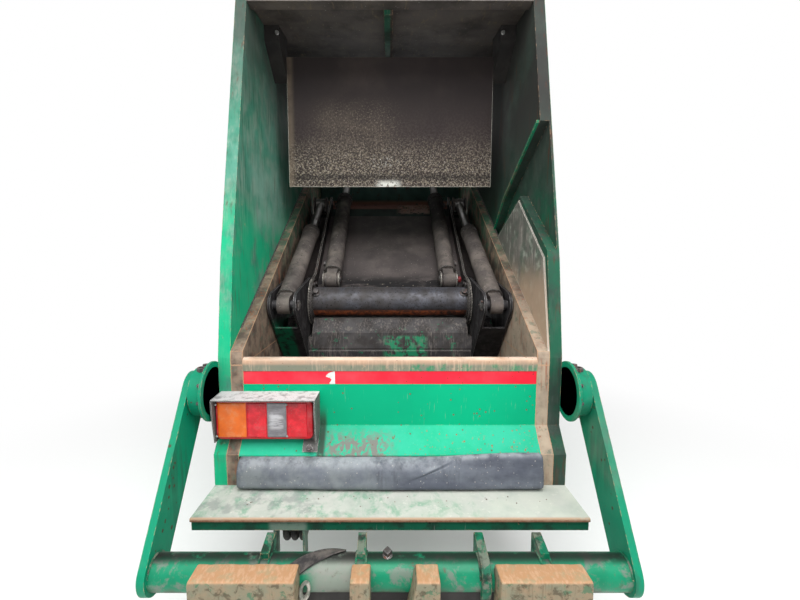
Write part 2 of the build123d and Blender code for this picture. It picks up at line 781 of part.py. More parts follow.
def lens(first, last):
    """One lens of the tail lamp, in front of the housing between two of the splits."""
    left = LAMP_SPLITS[first] + LENS_GAP / 2
    right = LAMP_SPLITS[last] - LENS_GAP / 2
    with BuildPart() as glass:
        with BuildSketch(Plane.XY.offset(LAMP_BOTTOM + LENS_MARGIN)):
            with Locations((left, SILL_Y - LAMP_DEEP + LENS_DEEP)):
                Rectangle(right - left, LENS_DEEP, align=(Align.MIN, Align.MAX))
        extrude(amount=LAMP_TOP - LAMP_BOTTOM - 2 * LENS_MARGIN)
        fillet(glass.edges().group_by(Axis.Y)[0], LENS_ROUND)
    return glass.part


with BuildPart() as tail_lamp_red_lenses:
    add(lens(1, 2))
    add(lens(3, 4))
save(tail_lamp_red_lenses.part, "tail_lamp_red_lenses")
save(lens(2, 3), "tail_lamp_clear_lens")
save(lens(0, 1), "tail_lamp_amber_lens")

CHEEK_BOTTOM = LAMP_BOTTOM - CHEEK_DROP
with BuildPart() as tail_lamp_guard:
    with BuildSketch(Plane.XY.offset(LAMP_TOP)):
        with Locations((LAMP_LEFT - HOOD_PROUD, SILL_Y)):
            Rectangle(LAMP_LONG + 2 * HOOD_PROUD, HOOD_DEEP, align=(Align.MIN, Align.MAX))
    extrude(amount=HOOD_THICK)
    for x in (LAMP_LEFT - HOOD_PROUD, LAMP_RIGHT + HOOD_PROUD - HOOD_THICK):
        with BuildSketch(side_view(x)):
            Polygon(
                (SILL_Y, LAMP_TOP),
                (SILL_Y - HOOD_DEEP, LAMP_TOP),
                (SILL_Y - HOOD_DEEP, LAMP_TOP - CHEEK_FRONT),
                (SILL_Y - LAMP_DEEP, CHEEK_BOTTOM),
                (apron_y(CHEEK_BOTTOM), CHEEK_BOTTOM),
                (SILL_Y, FACE_BOTTOM),
                align=None,
            )
        extrude(amount=HOOD_THICK)
    with BuildSketch(side_view(LAMP_RIGHT + HOOD_PROUD - POST_WIDE)):
        Polygon(
            (apron_y(LAMP_BOTTOM), LAMP_BOTTOM),
            (apron_y(LAMP_BOTTOM) - POST_THICK, LAMP_BOTTOM),
            (apron_y(POST_BOTTOM) - POST_THICK, POST_BOTTOM),
            (apron_y(POST_BOTTOM), POST_BOTTOM),
            align=None,
        )
    extrude(amount=POST_WIDE)
save(tail_lamp_guard.part, "tail_lamp_guard")

# Lugs of the top hinge, on the beam at the front of the roof
with BuildPart() as top_hinge:
    for side in (-1, 1):
        with BuildSketch(side_view(side * HINGE_LUG_X - HINGE_LUG_WIDE / 2)):
            Circle(HINGE_LUG_R)
            with Locations((FRONT_Y, HINGE_BEAM_TOP)):
                Rectangle(HINGE_BEAM_DEEP - HINGE_FOOT_INSET, ROOT, align=(Align.MAX, Align.MIN))
            make_hull()
            Circle(HINGE_BORE_R, mode=Mode.SUBTRACT)
            with Locations((FRONT_Y, HINGE_BEAM_TOP)):
                Rectangle(HINGE_BEAM_DEEP, HINGE_BEAM_DEEP, align=(Align.MAX, Align.MAX), mode=Mode.SUBTRACT)
        extrude(amount=HINGE_LUG_WIDE)
save(top_hinge.part, "top_hinge")

# Pins for the cylinders that raise the tailgate
with BuildPart() as raise_pins:
    with BuildSketch(side_view(OUTER_HALF)):
        with Locations((RAISE_Y, RAISE_Z)):
            Circle(RAISE_PAD_R)
    extrude(amount=RAISE_PAD_THICK)
    with BuildSketch(side_view(OUTER_HALF)):
        with Locations((RAISE_Y, RAISE_Z)):
            Circle(RAISE_PIN_R)
    extrude(amount=RAISE_PAD_THICK + RAISE_PIN_LONG)
    mirror(about=Plane.YZ)
save(raise_pins.part, "raise_pins")

# Lift actuators, with the shafts that carry the lift's arms
with BuildPart() as lift_actuators:
    with BuildSketch(lift_view(OUTER_HALF)):
        Circle(DRUM_R)
    extrude(amount=DRUM_WIDE)
    with BuildSketch(lift_view(OUTER_HALF + DRUM_WIDE)):
        Circle(SHAFT_R)
    extrude(amount=LIFT_ARM_GAP + ARM_WIDE + SHAFT_PROUD)
    mirror(about=Plane.YZ)
save(lift_actuators.part, "lift_actuators")


def cylinder_plane(x, start, end):
    """Plane at a cylinder's lower eye, facing along it, from two side view points."""
    return Plane(origin=(x, *start), x_dir=(1, 0, 0), z_dir=(0, end[0] - start[0], end[1] - start[1]))


def barrel(x, start, end, radius, length, ports_outwards):
    """Barrel with its lower eye at start, open at the mouth for the rod.

    A port near each end faces outwards, away from the centre plane, or down.
    """
    base = cylinder_plane(x, start, end)
    port_axis = Vector(math.copysign(1, x), 0, 0) if ports_outwards else base.z_dir.cross(base.x_dir)
    closed_end = EYE_R + EYE_SHOULDER
    with BuildPart() as body:
        with BuildSketch(side_view(x - EYE_WIDE / 2)):
            with Locations(start):
                Circle(EYE_R)
        extrude(amount=EYE_WIDE)
        with BuildSketch(base):
            Rectangle(EYE_WIDE, EYE_BLOCK)
        extrude(amount=closed_end)
        with BuildSketch(base.offset(closed_end)):
            Circle(radius)
        extrude(amount=length - closed_end)
        with BuildSketch(base.offset(length - COLLAR_LONG)):
            Circle(radius + COLLAR_PROUD)
        extrude(amount=COLLAR_LONG)
        for along in (closed_end + PORT_INSET, length - PORT_INSET):
            port = Plane(origin=base.origin + base.z_dir * along, x_dir=base.z_dir, z_dir=port_axis)
            with BuildSketch(port.offset(radius - PORT_ROOT)):
                Circle(PORT_R)
            extrude(amount=PORT_ROOT + PORT_HIGH)
            with BuildSketch(port.offset(radius)):
                Circle(PORT_BORE_R)
            extrude(amount=PORT_HIGH, mode=Mode.SUBTRACT)
        with BuildSketch(base.offset(length)):
            Circle(ROD_R + BORE_GAP)
        extrude(amount=closed_end + BORE_FLOOR - length, mode=Mode.SUBTRACT)
        with BuildSketch(base.offset(length - GLAND_LONG)):
            Circle(radius)
            Circle(ROD_R + SEAT, mode=Mode.SUBTRACT)
        extrude(amount=GLAND_LONG)
        with BuildSketch(side_view(x - EYE_WIDE / 2)):
            with Locations(start):
                Circle(PIN_R + RUNNING)
        extrude(amount=EYE_WIDE, mode=Mode.SUBTRACT)
    return body.part


def rod(x, start, end, inner):
    """Rod from a depth inside the barrel to its eye at end, for a cylinder that starts at start."""
    base = cylinder_plane(x, start, end)
    length = math.dist(start, end)
    with BuildPart() as body:
        with BuildSketch(base.offset(inner)):
            Circle(ROD_R)
        extrude(amount=length - inner - PIN_R - ROD_END_GAP)
        with BuildSketch(side_view(x - EYE_WIDE / 2)):
            with Locations(end):
                Circle(EYE_R)
        extrude(amount=EYE_WIDE)
        with BuildSketch(side_view(x - EYE_WIDE / 2)):
            with Locations(end):
                Circle(PIN_R + RUNNING)
        extrude(amount=EYE_WIDE, mode=Mode.SUBTRACT)
    return body.part


CLEVIS = slide_point(CLEVIS_U, CARRIAGE_CYL_N)
with BuildPart() as carriage_cylinder_rods:
    for x in (-CARRIAGE_CYL_X, CARRIAGE_CYL_X):
        add(rod(x, CLEVIS, ANCHOR, ROD_INNER_U - CLEVIS_U))
save(carriage_cylinder_rods.part, "carriage_cylinder_rods")

with BuildPart() as carriage_cylinder_barrels:
    for x in (-CARRIAGE_CYL_X, CARRIAGE_CYL_X):
        add(barrel(x, CLEVIS, ANCHOR, CARRIAGE_BARREL_R, CARRIAGE_BARREL, ports_outwards=True))
save(carriage_cylinder_barrels.part, "carriage_cylinder_barrels")

# Hoses that hang in loops under the ledge
with BuildPart() as hose_loops:
    for x in HOSE_XS:
        with BuildLine() as route:
            rear = (x, HOSE_REAR_Y, BEAM_TOP)
            Line(rear, (x, HOSE_REAR_Y, BEAM_TOP - HOSE_LEG))
            ThreePointArc(
                (x, HOSE_REAR_Y, BEAM_TOP - HOSE_LEG),
                (x, HOSE_REAR_Y + HOSE_BEND, BEAM_TOP - HOSE_LEG - HOSE_BEND),
                (x, HOSE_REAR_Y + 2 * HOSE_BEND, BEAM_TOP - HOSE_LEG),
            )
            Line(
                (x, HOSE_REAR_Y + 2 * HOSE_BEND, BEAM_TOP - HOSE_LEG),
                (x, HOSE_REAR_Y + 2 * HOSE_BEND, BEAM_TOP),
            )
        with BuildSketch(Plane(origin=rear, x_dir=(1, 0, 0), z_dir=(0, 0, -1))):
            Circle(HOSE_R)
        sweep(path=route.wires()[0])
save(hose_loops.part, "hose_loops")


def carriage_section(grow):
    """Half outline of the carriage across the slide, shrunk inwards by a sheet's thickness."""
    return [
        (0, CARRIAGE_LOW + grow),
        (WING_HALF - grow, CARRIAGE_LOW + grow),
        (WING_HALF - grow, WING_HIGH - grow),
        (DECK_HALF - grow, WING_HIGH - grow),
        (DECK_HALF - grow, -grow),
        (0, -grow),
    ]


# Carriage: a hollow box with a wing on each side, open at its ends; the wings start behind the hubs
with BuildPart() as carriage_frame:
    start = slide_point(DECK_START, 0)
    with BuildSketch(Plane(origin=(0, *start), x_dir=(-1, 0, 0), z_dir=(0, COS, SIN))):
        Polygon(*carriage_section(0), align=None)
        Polygon(*carriage_section(CARRIAGE_SHEET), align=None, mode=Mode.SUBTRACT)
        mirror(about=Plane.YZ)
    extrude(amount=DECK_END - DECK_START)
    for side in (-1, 1):
        with BuildSketch(slide_view(side * DECK_HALF)):
            with Locations((DECK_START, WING_HIGH)):
                Rectangle(WING_START - DECK_START, WING_HIGH - CARRIAGE_LOW, align=(Align.MIN, Align.MAX))
        extrude(amount=side * (WING_HALF - DECK_HALF), mode=Mode.SUBTRACT)
save(carriage_frame.part, "carriage_frame")

# Side plates of the carriage, with a toothed boss round the hinge tube's ends
with BuildPart() as carriage_side_plates:
    with BuildSketch(slide_view(DECK_HALF)):
        Circle(BOSS_R)
        with Locations((DECK_START, WING_HIGH)):
            Rectangle(BOSS_NECK, SIDE_PLATE_HIGH - WING_HIGH, align=(Align.MIN, Align.MIN))
        make_hull()
        with Locations((DECK_START, WING_HIGH)):
            Rectangle(DECK_END - DECK_START, SIDE_PLATE_HIGH - WING_HIGH, align=(Align.MIN, Align.MIN))
        with Locations((WING_START, WING_HIGH)):
            Rectangle(BEYOND, BEYOND, align=(Align.MIN, Align.MAX), mode=Mode.SUBTRACT)
        with PolarLocations(BOSS_R, BOSS_TEETH * 3 // 4, start_angle=68, angular_range=270):
            Circle(BOSS_NOTCH_R, mode=Mode.SUBTRACT)
        Circle(HINGE_PIN_R + SEAT, mode=Mode.SUBTRACT)
    extrude(amount=SIDE_PLATE)
    mirror(about=Plane.YZ)
save(carriage_side_plates.part, "carriage_side_plates")

# Hinge tube of the blade, with a pin at each end
PIN_END = BLADE_HALF + HINGE_PIN_PROUD
with BuildPart() as blade_hinge_tube:
    with BuildSketch(hinge_view(-DECK_HALF)):
        Circle(TUBE_R)
    extrude(amount=2 * DECK_HALF)
    with BuildSketch(hinge_view(-PIN_END)):
        Circle(HINGE_PIN_R)
    extrude(amount=2 * PIN_END)
save(blade_hinge_tube.part, "blade_hinge_tube")

with BuildPart() as guide_shoes:
    for start_u in SHOE_STARTS:
        with BuildSketch(slide_view(WING_HALF)):
            with Locations((start_u, SLOT_LOW + SHOE_GAP)):
                Rectangle(SHOE_LONG, SLOT_HIGH - SLOT_LOW - 2 * SHOE_GAP, align=(Align.MIN, Align.MIN))
        extrude(amount=SHOE_OUT - WING_HALF)
    mirror(about=Plane.YZ)
save(guide_shoes.part, "guide_shoes")

# Clevises on the deck for the carriage cylinders
CLEVIS_IN = EYE_WIDE / 2 + CLEVIS_GAP
with BuildPart() as cylinder_clevises:
    for inner_face in (-CLEVIS_IN - LUG_WIDE, CLEVIS_IN):
        with BuildSketch(slide_view(CARRIAGE_CYL_X + inner_face)):
            with Locations((CLEVIS_U, CARRIAGE_CYL_N)):
                Circle(CLEVIS_R)
            with Locations((DECK_START, 0)):
                Rectangle(CLEVIS_FOOT, ROOT, align=(Align.MIN, Align.MIN))
            make_hull()
        extrude(amount=LUG_WIDE)
    with BuildSketch(slide_view(CARRIAGE_CYL_X - CLEVIS_IN - LUG_WIDE)):
        with Locations((CLEVIS_U, CARRIAGE_CYL_N)):
            Circle(PIN_R - SEAT)
    extrude(amount=2 * (CLEVIS_IN + LUG_WIDE))
    mirror(about=Plane.YZ)
save(cylinder_clevises.part, "cylinder_clevises")

# Brackets on the wings for the blade cylinders' rods; their stub pins stop short of the eye
BRACKET_IN = EYE_WIDE / 2 + BRACKET_GAP
with BuildPart() as blade_cylinder_brackets:
    for inner_face in (-BRACKET_IN - BRACKET_PLATE, BRACKET_IN):
        with BuildSketch(slide_view(BLADE_CYL_X + inner_face)):
            with Locations((ANCHOR_U, ANCHOR_N)):
                Circle(EYE_R + BRACKET_RIM)
            with Locations((ANCHOR_U, WING_HIGH)):
                Rectangle(2 * (DECK_END - ANCHOR_U) + BRACKET_FOOT, ROOT, align=(Align.CENTER, Align.MIN))
            make_hull()
            with Locations((DECK_END, ANCHOR_N)):
                Rectangle(BEYOND, BEYOND, align=(Align.MIN, Align.CENTER), mode=Mode.SUBTRACT)
        extrude(amount=BRACKET_PLATE)
    for side in (-1, 1):
        with BuildSketch(slide_view(BLADE_CYL_X + side * (EYE_WIDE / 2 + STUB_GAP))):
            with Locations((ANCHOR_U, ANCHOR_N)):
                Circle(PIN_R)
        extrude(amount=side * (BRACKET_GAP - STUB_GAP + BRACKET_PLATE + STUB_PROUD))
    mirror(about=Plane.YZ)
save(blade_cylinder_brackets.part, "blade_cylinder_brackets")

# Blade: a closed box below the hinge tube, notched for the carriage's side plates, with a
# strip of its rear plate doubled
NOTCH_LOW = -190


def blade_rear(z, out):
    """Point that is out behind the blade's rear plate, at a height from the hinge."""
    y, _ = line_crossing(*BLADE_OUTLINE[2:4], (0, z), (1, z))
    return (y - out, z)


with BuildPart() as packer_blade:
    with BuildSketch(hinge_view(-BLADE_HALF)):
        Polygon(*BLADE_OUTLINE, align=None)
        Circle(TUBE_R + TUBE_CLEARANCE, mode=Mode.SUBTRACT)
    extrude(amount=2 * BLADE_HALF)
    with BuildSketch(hinge_view(-ARM_INNER_X + MOVING)):
        Polygon(
            blade_rear(BLADE_FOLD_TOP, 0),
            blade_rear(BLADE_FOLD_TOP - BLADE_FOLD_DEEP, BLADE_FOLD_DEEP),
            blade_rear(BLADE_FOLD_LOW, BLADE_FOLD_DEEP),
            blade_rear(BLADE_FOLD_LOW - BLADE_FOLD_DEEP, 0),
            align=None,
        )
    extrude(amount=2 * (ARM_INNER_X - MOVING))
    for side in (-1, 1):
        middle = side * (DECK_HALF + SIDE_PLATE / 2)
        with BuildSketch(Plane.XZ.offset(-HINGE_Y)):
            with Locations((middle, HINGE_Z + NOTCH_LOW)):
                Rectangle(SIDE_PLATE + 2 * MOVING, -NOTCH_LOW, align=(Align.CENTER, Align.MIN))
        extrude(amount=BEYOND, both=True, mode=Mode.SUBTRACT)
save(packer_blade.part, "packer_blade")


def outer_tangent(a, radius_a, b, radius_b):
    """Ends of the line that touches two circles on their right side, looking from a to b."""
    ahead = math.atan2(b[1] - a[1], b[0] - a[0])
    side = ahead - math.acos((radius_a - radius_b) / math.dist(a, b))
    reach = (math.cos(side), math.sin(side))
    return [(p[0] + r * reach[0], p[1] + r * reach[1]) for p, r in ((a, radius_a), (b, radius_b))]


def on_line(line, share):
    """Point at a share of the way along a line between two points."""
    (ay, az), (by, bz) = line
    return (ay + share * (by - ay), az + share * (bz - az))


# Arms of the blade: a plate on each side of the cylinder, joined by its pin and, along the
# rear edge, by a flange
REAR_EDGE = outer_tangent((EAR_Y, EAR_Z), EAR_R, (ARM_FOOT_Y, ARM_FOOT_Z), ARM_FOOT_R)
FLANGE_EDGE = outer_tangent(
    (EAR_Y, EAR_Z), EAR_R - ARM_FLANGE, (ARM_FOOT_Y, ARM_FOOT_Z), ARM_FOOT_R - ARM_FLANGE
)
with BuildPart() as blade_arms:
    for x in (ARM_INNER_X, ARM_OUTER_X):
        with BuildSketch(hinge_view(x)):
            Circle(ARM_HUB_R)
            with Locations((EAR_Y, EAR_Z)):
                Circle(EAR_R)
            with Locations((ARM_FOOT_Y, ARM_FOOT_Z)):
                Circle(ARM_FOOT_R)
            make_hull()
            Polygon(*BLADE_OUTLINE, align=None, mode=Mode.SUBTRACT)
            Circle(HINGE_PIN_R + RUNNING, mode=Mode.SUBTRACT)
        extrude(amount=ARM_PLATE)
    with BuildSketch(hinge_view(ARM_INNER_X)):
        with Locations((EAR_Y, EAR_Z)):
            Circle(PIN_R)
    extrude(amount=BLADE_HALF - ARM_INNER_X)
    with BuildSketch(hinge_view(ARM_INNER_X)):
        Polygon(
            on_line(REAR_EDGE, ARM_FLANGE_START),
            REAR_EDGE[1],
            FLANGE_EDGE[1],
            on_line(FLANGE_EDGE, ARM_FLANGE_START),
            align=None,
        )
        Polygon(*BLADE_OUTLINE, align=None, mode=Mode.SUBTRACT)
    extrude(amount=BLADE_HALF - ARM_INNER_X)
    mirror(about=Plane.YZ)
save(blade_arms.part, "blade_arms")

EAR = (HINGE_Y + EAR_Y, HINGE_Z + EAR_Z)
BLADE_ANCHOR = slide_point(ANCHOR_U, ANCHOR_N)
with BuildPart() as blade_cylinder_barrels:
    for x in (-BLADE_CYL_X, BLADE_CYL_X):
        add(barrel(x, EAR, BLADE_ANCHOR, BARREL_R, BLADE_BARREL, ports_outwards=False))
save(blade_cylinder_barrels.part, "blade_cylinder_barrels")

with BuildPart() as blade_cylinder_rods:
    for x in (-BLADE_CYL_X, BLADE_CYL_X):
        add(rod(x, EAR, BLADE_ANCHOR, BLADE_BARREL / 2))
save(blade_cylinder_rods.part, "blade_cylinder_rods")

# Bin lift: tube, arms at its ends, hooks and comb
ARM_X = OUTER_HALF + DRUM_WIDE + LIFT_ARM_GAP
with BuildPart() as lift_tube:
    with BuildSketch(side_view(-ARM_X)):
        with Locations((LIFT_TUBE_Y, LIFT_TUBE_Z)):
            Circle(LIFT_TUBE_R)
            Circle(LIFT_TUBE_R - LIFT_TUBE_WALL, mode=Mode.SUBTRACT)
    extrude(amount=2 * ARM_X)
save(lift_tube.part, "lift_tube")

with BuildPart() as lift_arms:
    with BuildSketch(side_view(ARM_X)):
        with Locations((LIFT_Y, LIFT_Z)):
            Circle(LIFT_HUB_R)
        with Locations((LIFT_TUBE_Y, LIFT_TUBE_Z)):
            Circle(LIFT_END_R)
        make_hull()
        with Locations((LIFT_Y, LIFT_Z)):
            Circle(SHAFT_R + RUNNING, mode=Mode.SUBTRACT)
    extrude(amount=ARM_WIDE)
    mirror(about=Plane.YZ)
save(lift_arms.part, "lift_arms")

# Each hook wraps the tube and ends in a rounded tip; one that meets a block of the comb stops at it
with BuildPart() as lift_hooks:
    for x in HOOK_XS:
        backed = any(left < x < right for left, right in COMB_SPANS)
        with BuildSketch(side_view(x - HOOK_WIDE / 2)):
            with Locations(HOOK_TIP):
                Circle(HOOK_TIP_R)
            with Locations((LIFT_TUBE_Y, LIFT_TUBE_Z)):
                Circle(LIFT_TUBE_R + HOOK_WRAP)
            make_hull()
            with Locations((LIFT_TUBE_Y, LIFT_TUBE_Z)):
                Circle(LIFT_TUBE_R + RUNNING, mode=Mode.SUBTRACT)
            if backed:
                with Locations((COMB_FRONT_Y + SEAT, LIFT_TUBE_Z)):
                    Rectangle(BEYOND, BEYOND, align=(Align.MAX, Align.CENTER), mode=Mode.SUBTRACT)
        extrude(amount=HOOK_WIDE)
save(lift_hooks.part, "lift_hooks")

# Blocks of the comb, chamfered along their upper edges; one of them is slanted on its left
with BuildPart() as lift_comb:
    for number, (left, right) in enumerate(COMB_SPANS):
        slant = COMB_SLANT if number == COMB_SLANTED else 0
        with BuildSketch(Plane.XZ.offset(-COMB_REAR_Y)):
            Polygon(
                (left, COMB_BOTTOM),
                (right, COMB_BOTTOM),
                (right, COMB_TOP),
                (left + slant, COMB_TOP),
                align=None,
            )
        extrude(amount=COMB_REAR_Y - COMB_FRONT_Y)
    chamfer(lift_comb.edges().filter_by_position(Axis.Z, COMB_TOP, COMB_TOP), COMB_CHAMFER)
    with BuildSketch(side_view(-LOWER_HALF)):
        with Locations((LIFT_TUBE_Y, LIFT_TUBE_Z)):
            Circle(LIFT_TUBE_R + SEAT)
    extrude(amount=2 * LOWER_HALF, mode=Mode.SUBTRACT)
save(lift_comb.part, "lift_comb")
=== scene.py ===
"""Looks of a rear loader tailgate, seen from behind into its hopper.

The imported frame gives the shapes. This script adds their finishes and the small pieces on them. Lengths are
in metres: X to the right seen from behind, Y forward to the truck, Z up, and the origin is on the top hinge.
"""
import logging
import math
from collections.abc import Mapping, Sequence
from dataclasses import dataclass, field, replace
from enum import Enum
from functools import partial

import bmesh
import bpy
import numpy as np
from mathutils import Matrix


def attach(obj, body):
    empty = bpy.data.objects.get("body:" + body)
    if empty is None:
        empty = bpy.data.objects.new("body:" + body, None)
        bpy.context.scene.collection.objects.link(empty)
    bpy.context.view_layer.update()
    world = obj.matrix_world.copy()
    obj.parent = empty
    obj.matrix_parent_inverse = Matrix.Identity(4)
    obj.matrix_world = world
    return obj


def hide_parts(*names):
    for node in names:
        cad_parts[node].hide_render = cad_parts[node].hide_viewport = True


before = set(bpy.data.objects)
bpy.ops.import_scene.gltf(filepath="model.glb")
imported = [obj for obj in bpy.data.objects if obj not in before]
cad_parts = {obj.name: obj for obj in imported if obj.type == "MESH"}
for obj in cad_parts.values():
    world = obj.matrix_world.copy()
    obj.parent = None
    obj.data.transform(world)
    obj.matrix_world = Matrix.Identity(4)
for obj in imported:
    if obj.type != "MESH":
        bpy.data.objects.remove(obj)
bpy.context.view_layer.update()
LOG = logging.getLogger("tailgate")

Colour = tuple[int, int, int]
Vector3 = Sequence[float] | np.ndarray
Socket = bpy.types.NodeSocket
Given = Mapping[str, Socket]

CHARCOAL = (52, 47, 45)
# Near-black used for soot, and also for painted shade on the deck, the barrels and the hinge tube.
SOOT_AND_SHADE = (24, 22, 22)
ASH = (132, 124, 118)
GRIT = (196, 188, 178)
CHALK = (222, 222, 214)
TAN = (196, 156, 124)
RUST = (146, 74, 38)
DARK_RUST = (82, 50, 38)
STEEL = (150, 148, 148)


def paint(colour: Colour) -> tuple[float, ...]:
    """Turns a screen colour of 0 to 255 into the linear one that a shader takes.

    Args:
        colour: Red, green and blue of the screen colour.

    Returns:
        The colour's linear red, green and blue, with full alpha.
    """
    screen = np.array(colour) / 255
    linear = np.where(screen > 0.04045, ((screen + 0.055) / 1.055) ** 2.4, screen / 12.92)
    return (*linear.tolist(), 1.0)


class Axis(Enum):
    """Axis of the frame, with its place in a point."""

    X = 0
    Y = 1
    Z = 2


X, Y, Z = Axis


class Pattern(Enum):
    """Kind of mark that a layer leaves, with its node group's name."""

    EVEN = "even"
    CLOUDS = "clouds"
    FLAKES = "flakes"
    SPECKS = "specks"
    STREAKS = "streaks"
    EDGES = "worn_edges"
    TOPS = "settled_dust"


class Graph:
    """A node tree under construction, with short calls for the nodes that finishes use."""

    def __init__(self, tree: bpy.types.NodeTree) -> None:
        """Keeps the tree and empties it."""
        self.tree = tree
        self.tree.nodes.clear()

    def add(self, kind: str, sockets: dict | None = None, **settings: object) -> bpy.types.Node:
        """Adds a node.

        Args:
            kind: Blender's name of the node's type.
            sockets: Input name or number, and the value or the output that feeds it.
            settings: Properties of the node itself.

        Returns:
            The new node.
        """
        node = self.tree.nodes.new(kind)
        for name, value in settings.items():
            setattr(node, name, value)
        for key, value in (sockets or {}).items():
            if isinstance(value, Socket):
                self.tree.links.new(value, node.inputs[key])
            else:
                node.inputs[key].default_value = value
        return node

    def math(self, operation: str, *values: object) -> Socket:
        """Works out one operation on numbers or outputs, and returns its output."""
        return self.add("ShaderNodeMath", dict(enumerate(values)), operation=operation).outputs[0]

    def mix(self, share: object, first: object, second: object) -> Socket:
        """Mixes two colours by a share from 0 to 1, and returns the colour."""
        return self.add("ShaderNodeMix", {0: share, 6: first, 7: second}, data_type="RGBA").outputs[2]

    def between(self, share: object, first: object, second: object) -> Socket:
        """Mixes two numbers by a share from 0 to 1, and returns the number."""
        return self.add("ShaderNodeMix", {0: share, 2: first, 3: second}, data_type="FLOAT").outputs[0]

    def ramp(self, value: object, low: object, high: object) -> Socket:
        """Rises smoothly from 0 at low to 1 at high, and returns that share."""
        sockets = {0: value, 1: low, 2: high, 3: 0.0, 4: 1.0}
        return self.add("ShaderNodeMapRange", sockets, interpolation_type="SMOOTHSTEP").outputs[0]

    def scaled(self, place: object, size: object) -> Socket:
        """Divides a place by a size, and returns it."""
        share = self.math("DIVIDE", 1.0, size)
        return self.add("ShaderNodeVectorMath", {0: place, "Scale": share}, operation="SCALE").outputs[0]

    def noise(self, place: object, detail: float, roughness: float, distortion: float = 0.0) -> Socket:
        """Adds fractal noise with cells one unit wide, and returns its height from 0 to 1."""
        sockets = {"Vector": place, "Scale": 1.0, "Detail": detail, "Roughness": roughness}
        return self.add("ShaderNodeTexNoise", {**sockets, "Distortion": distortion}).outputs[0]


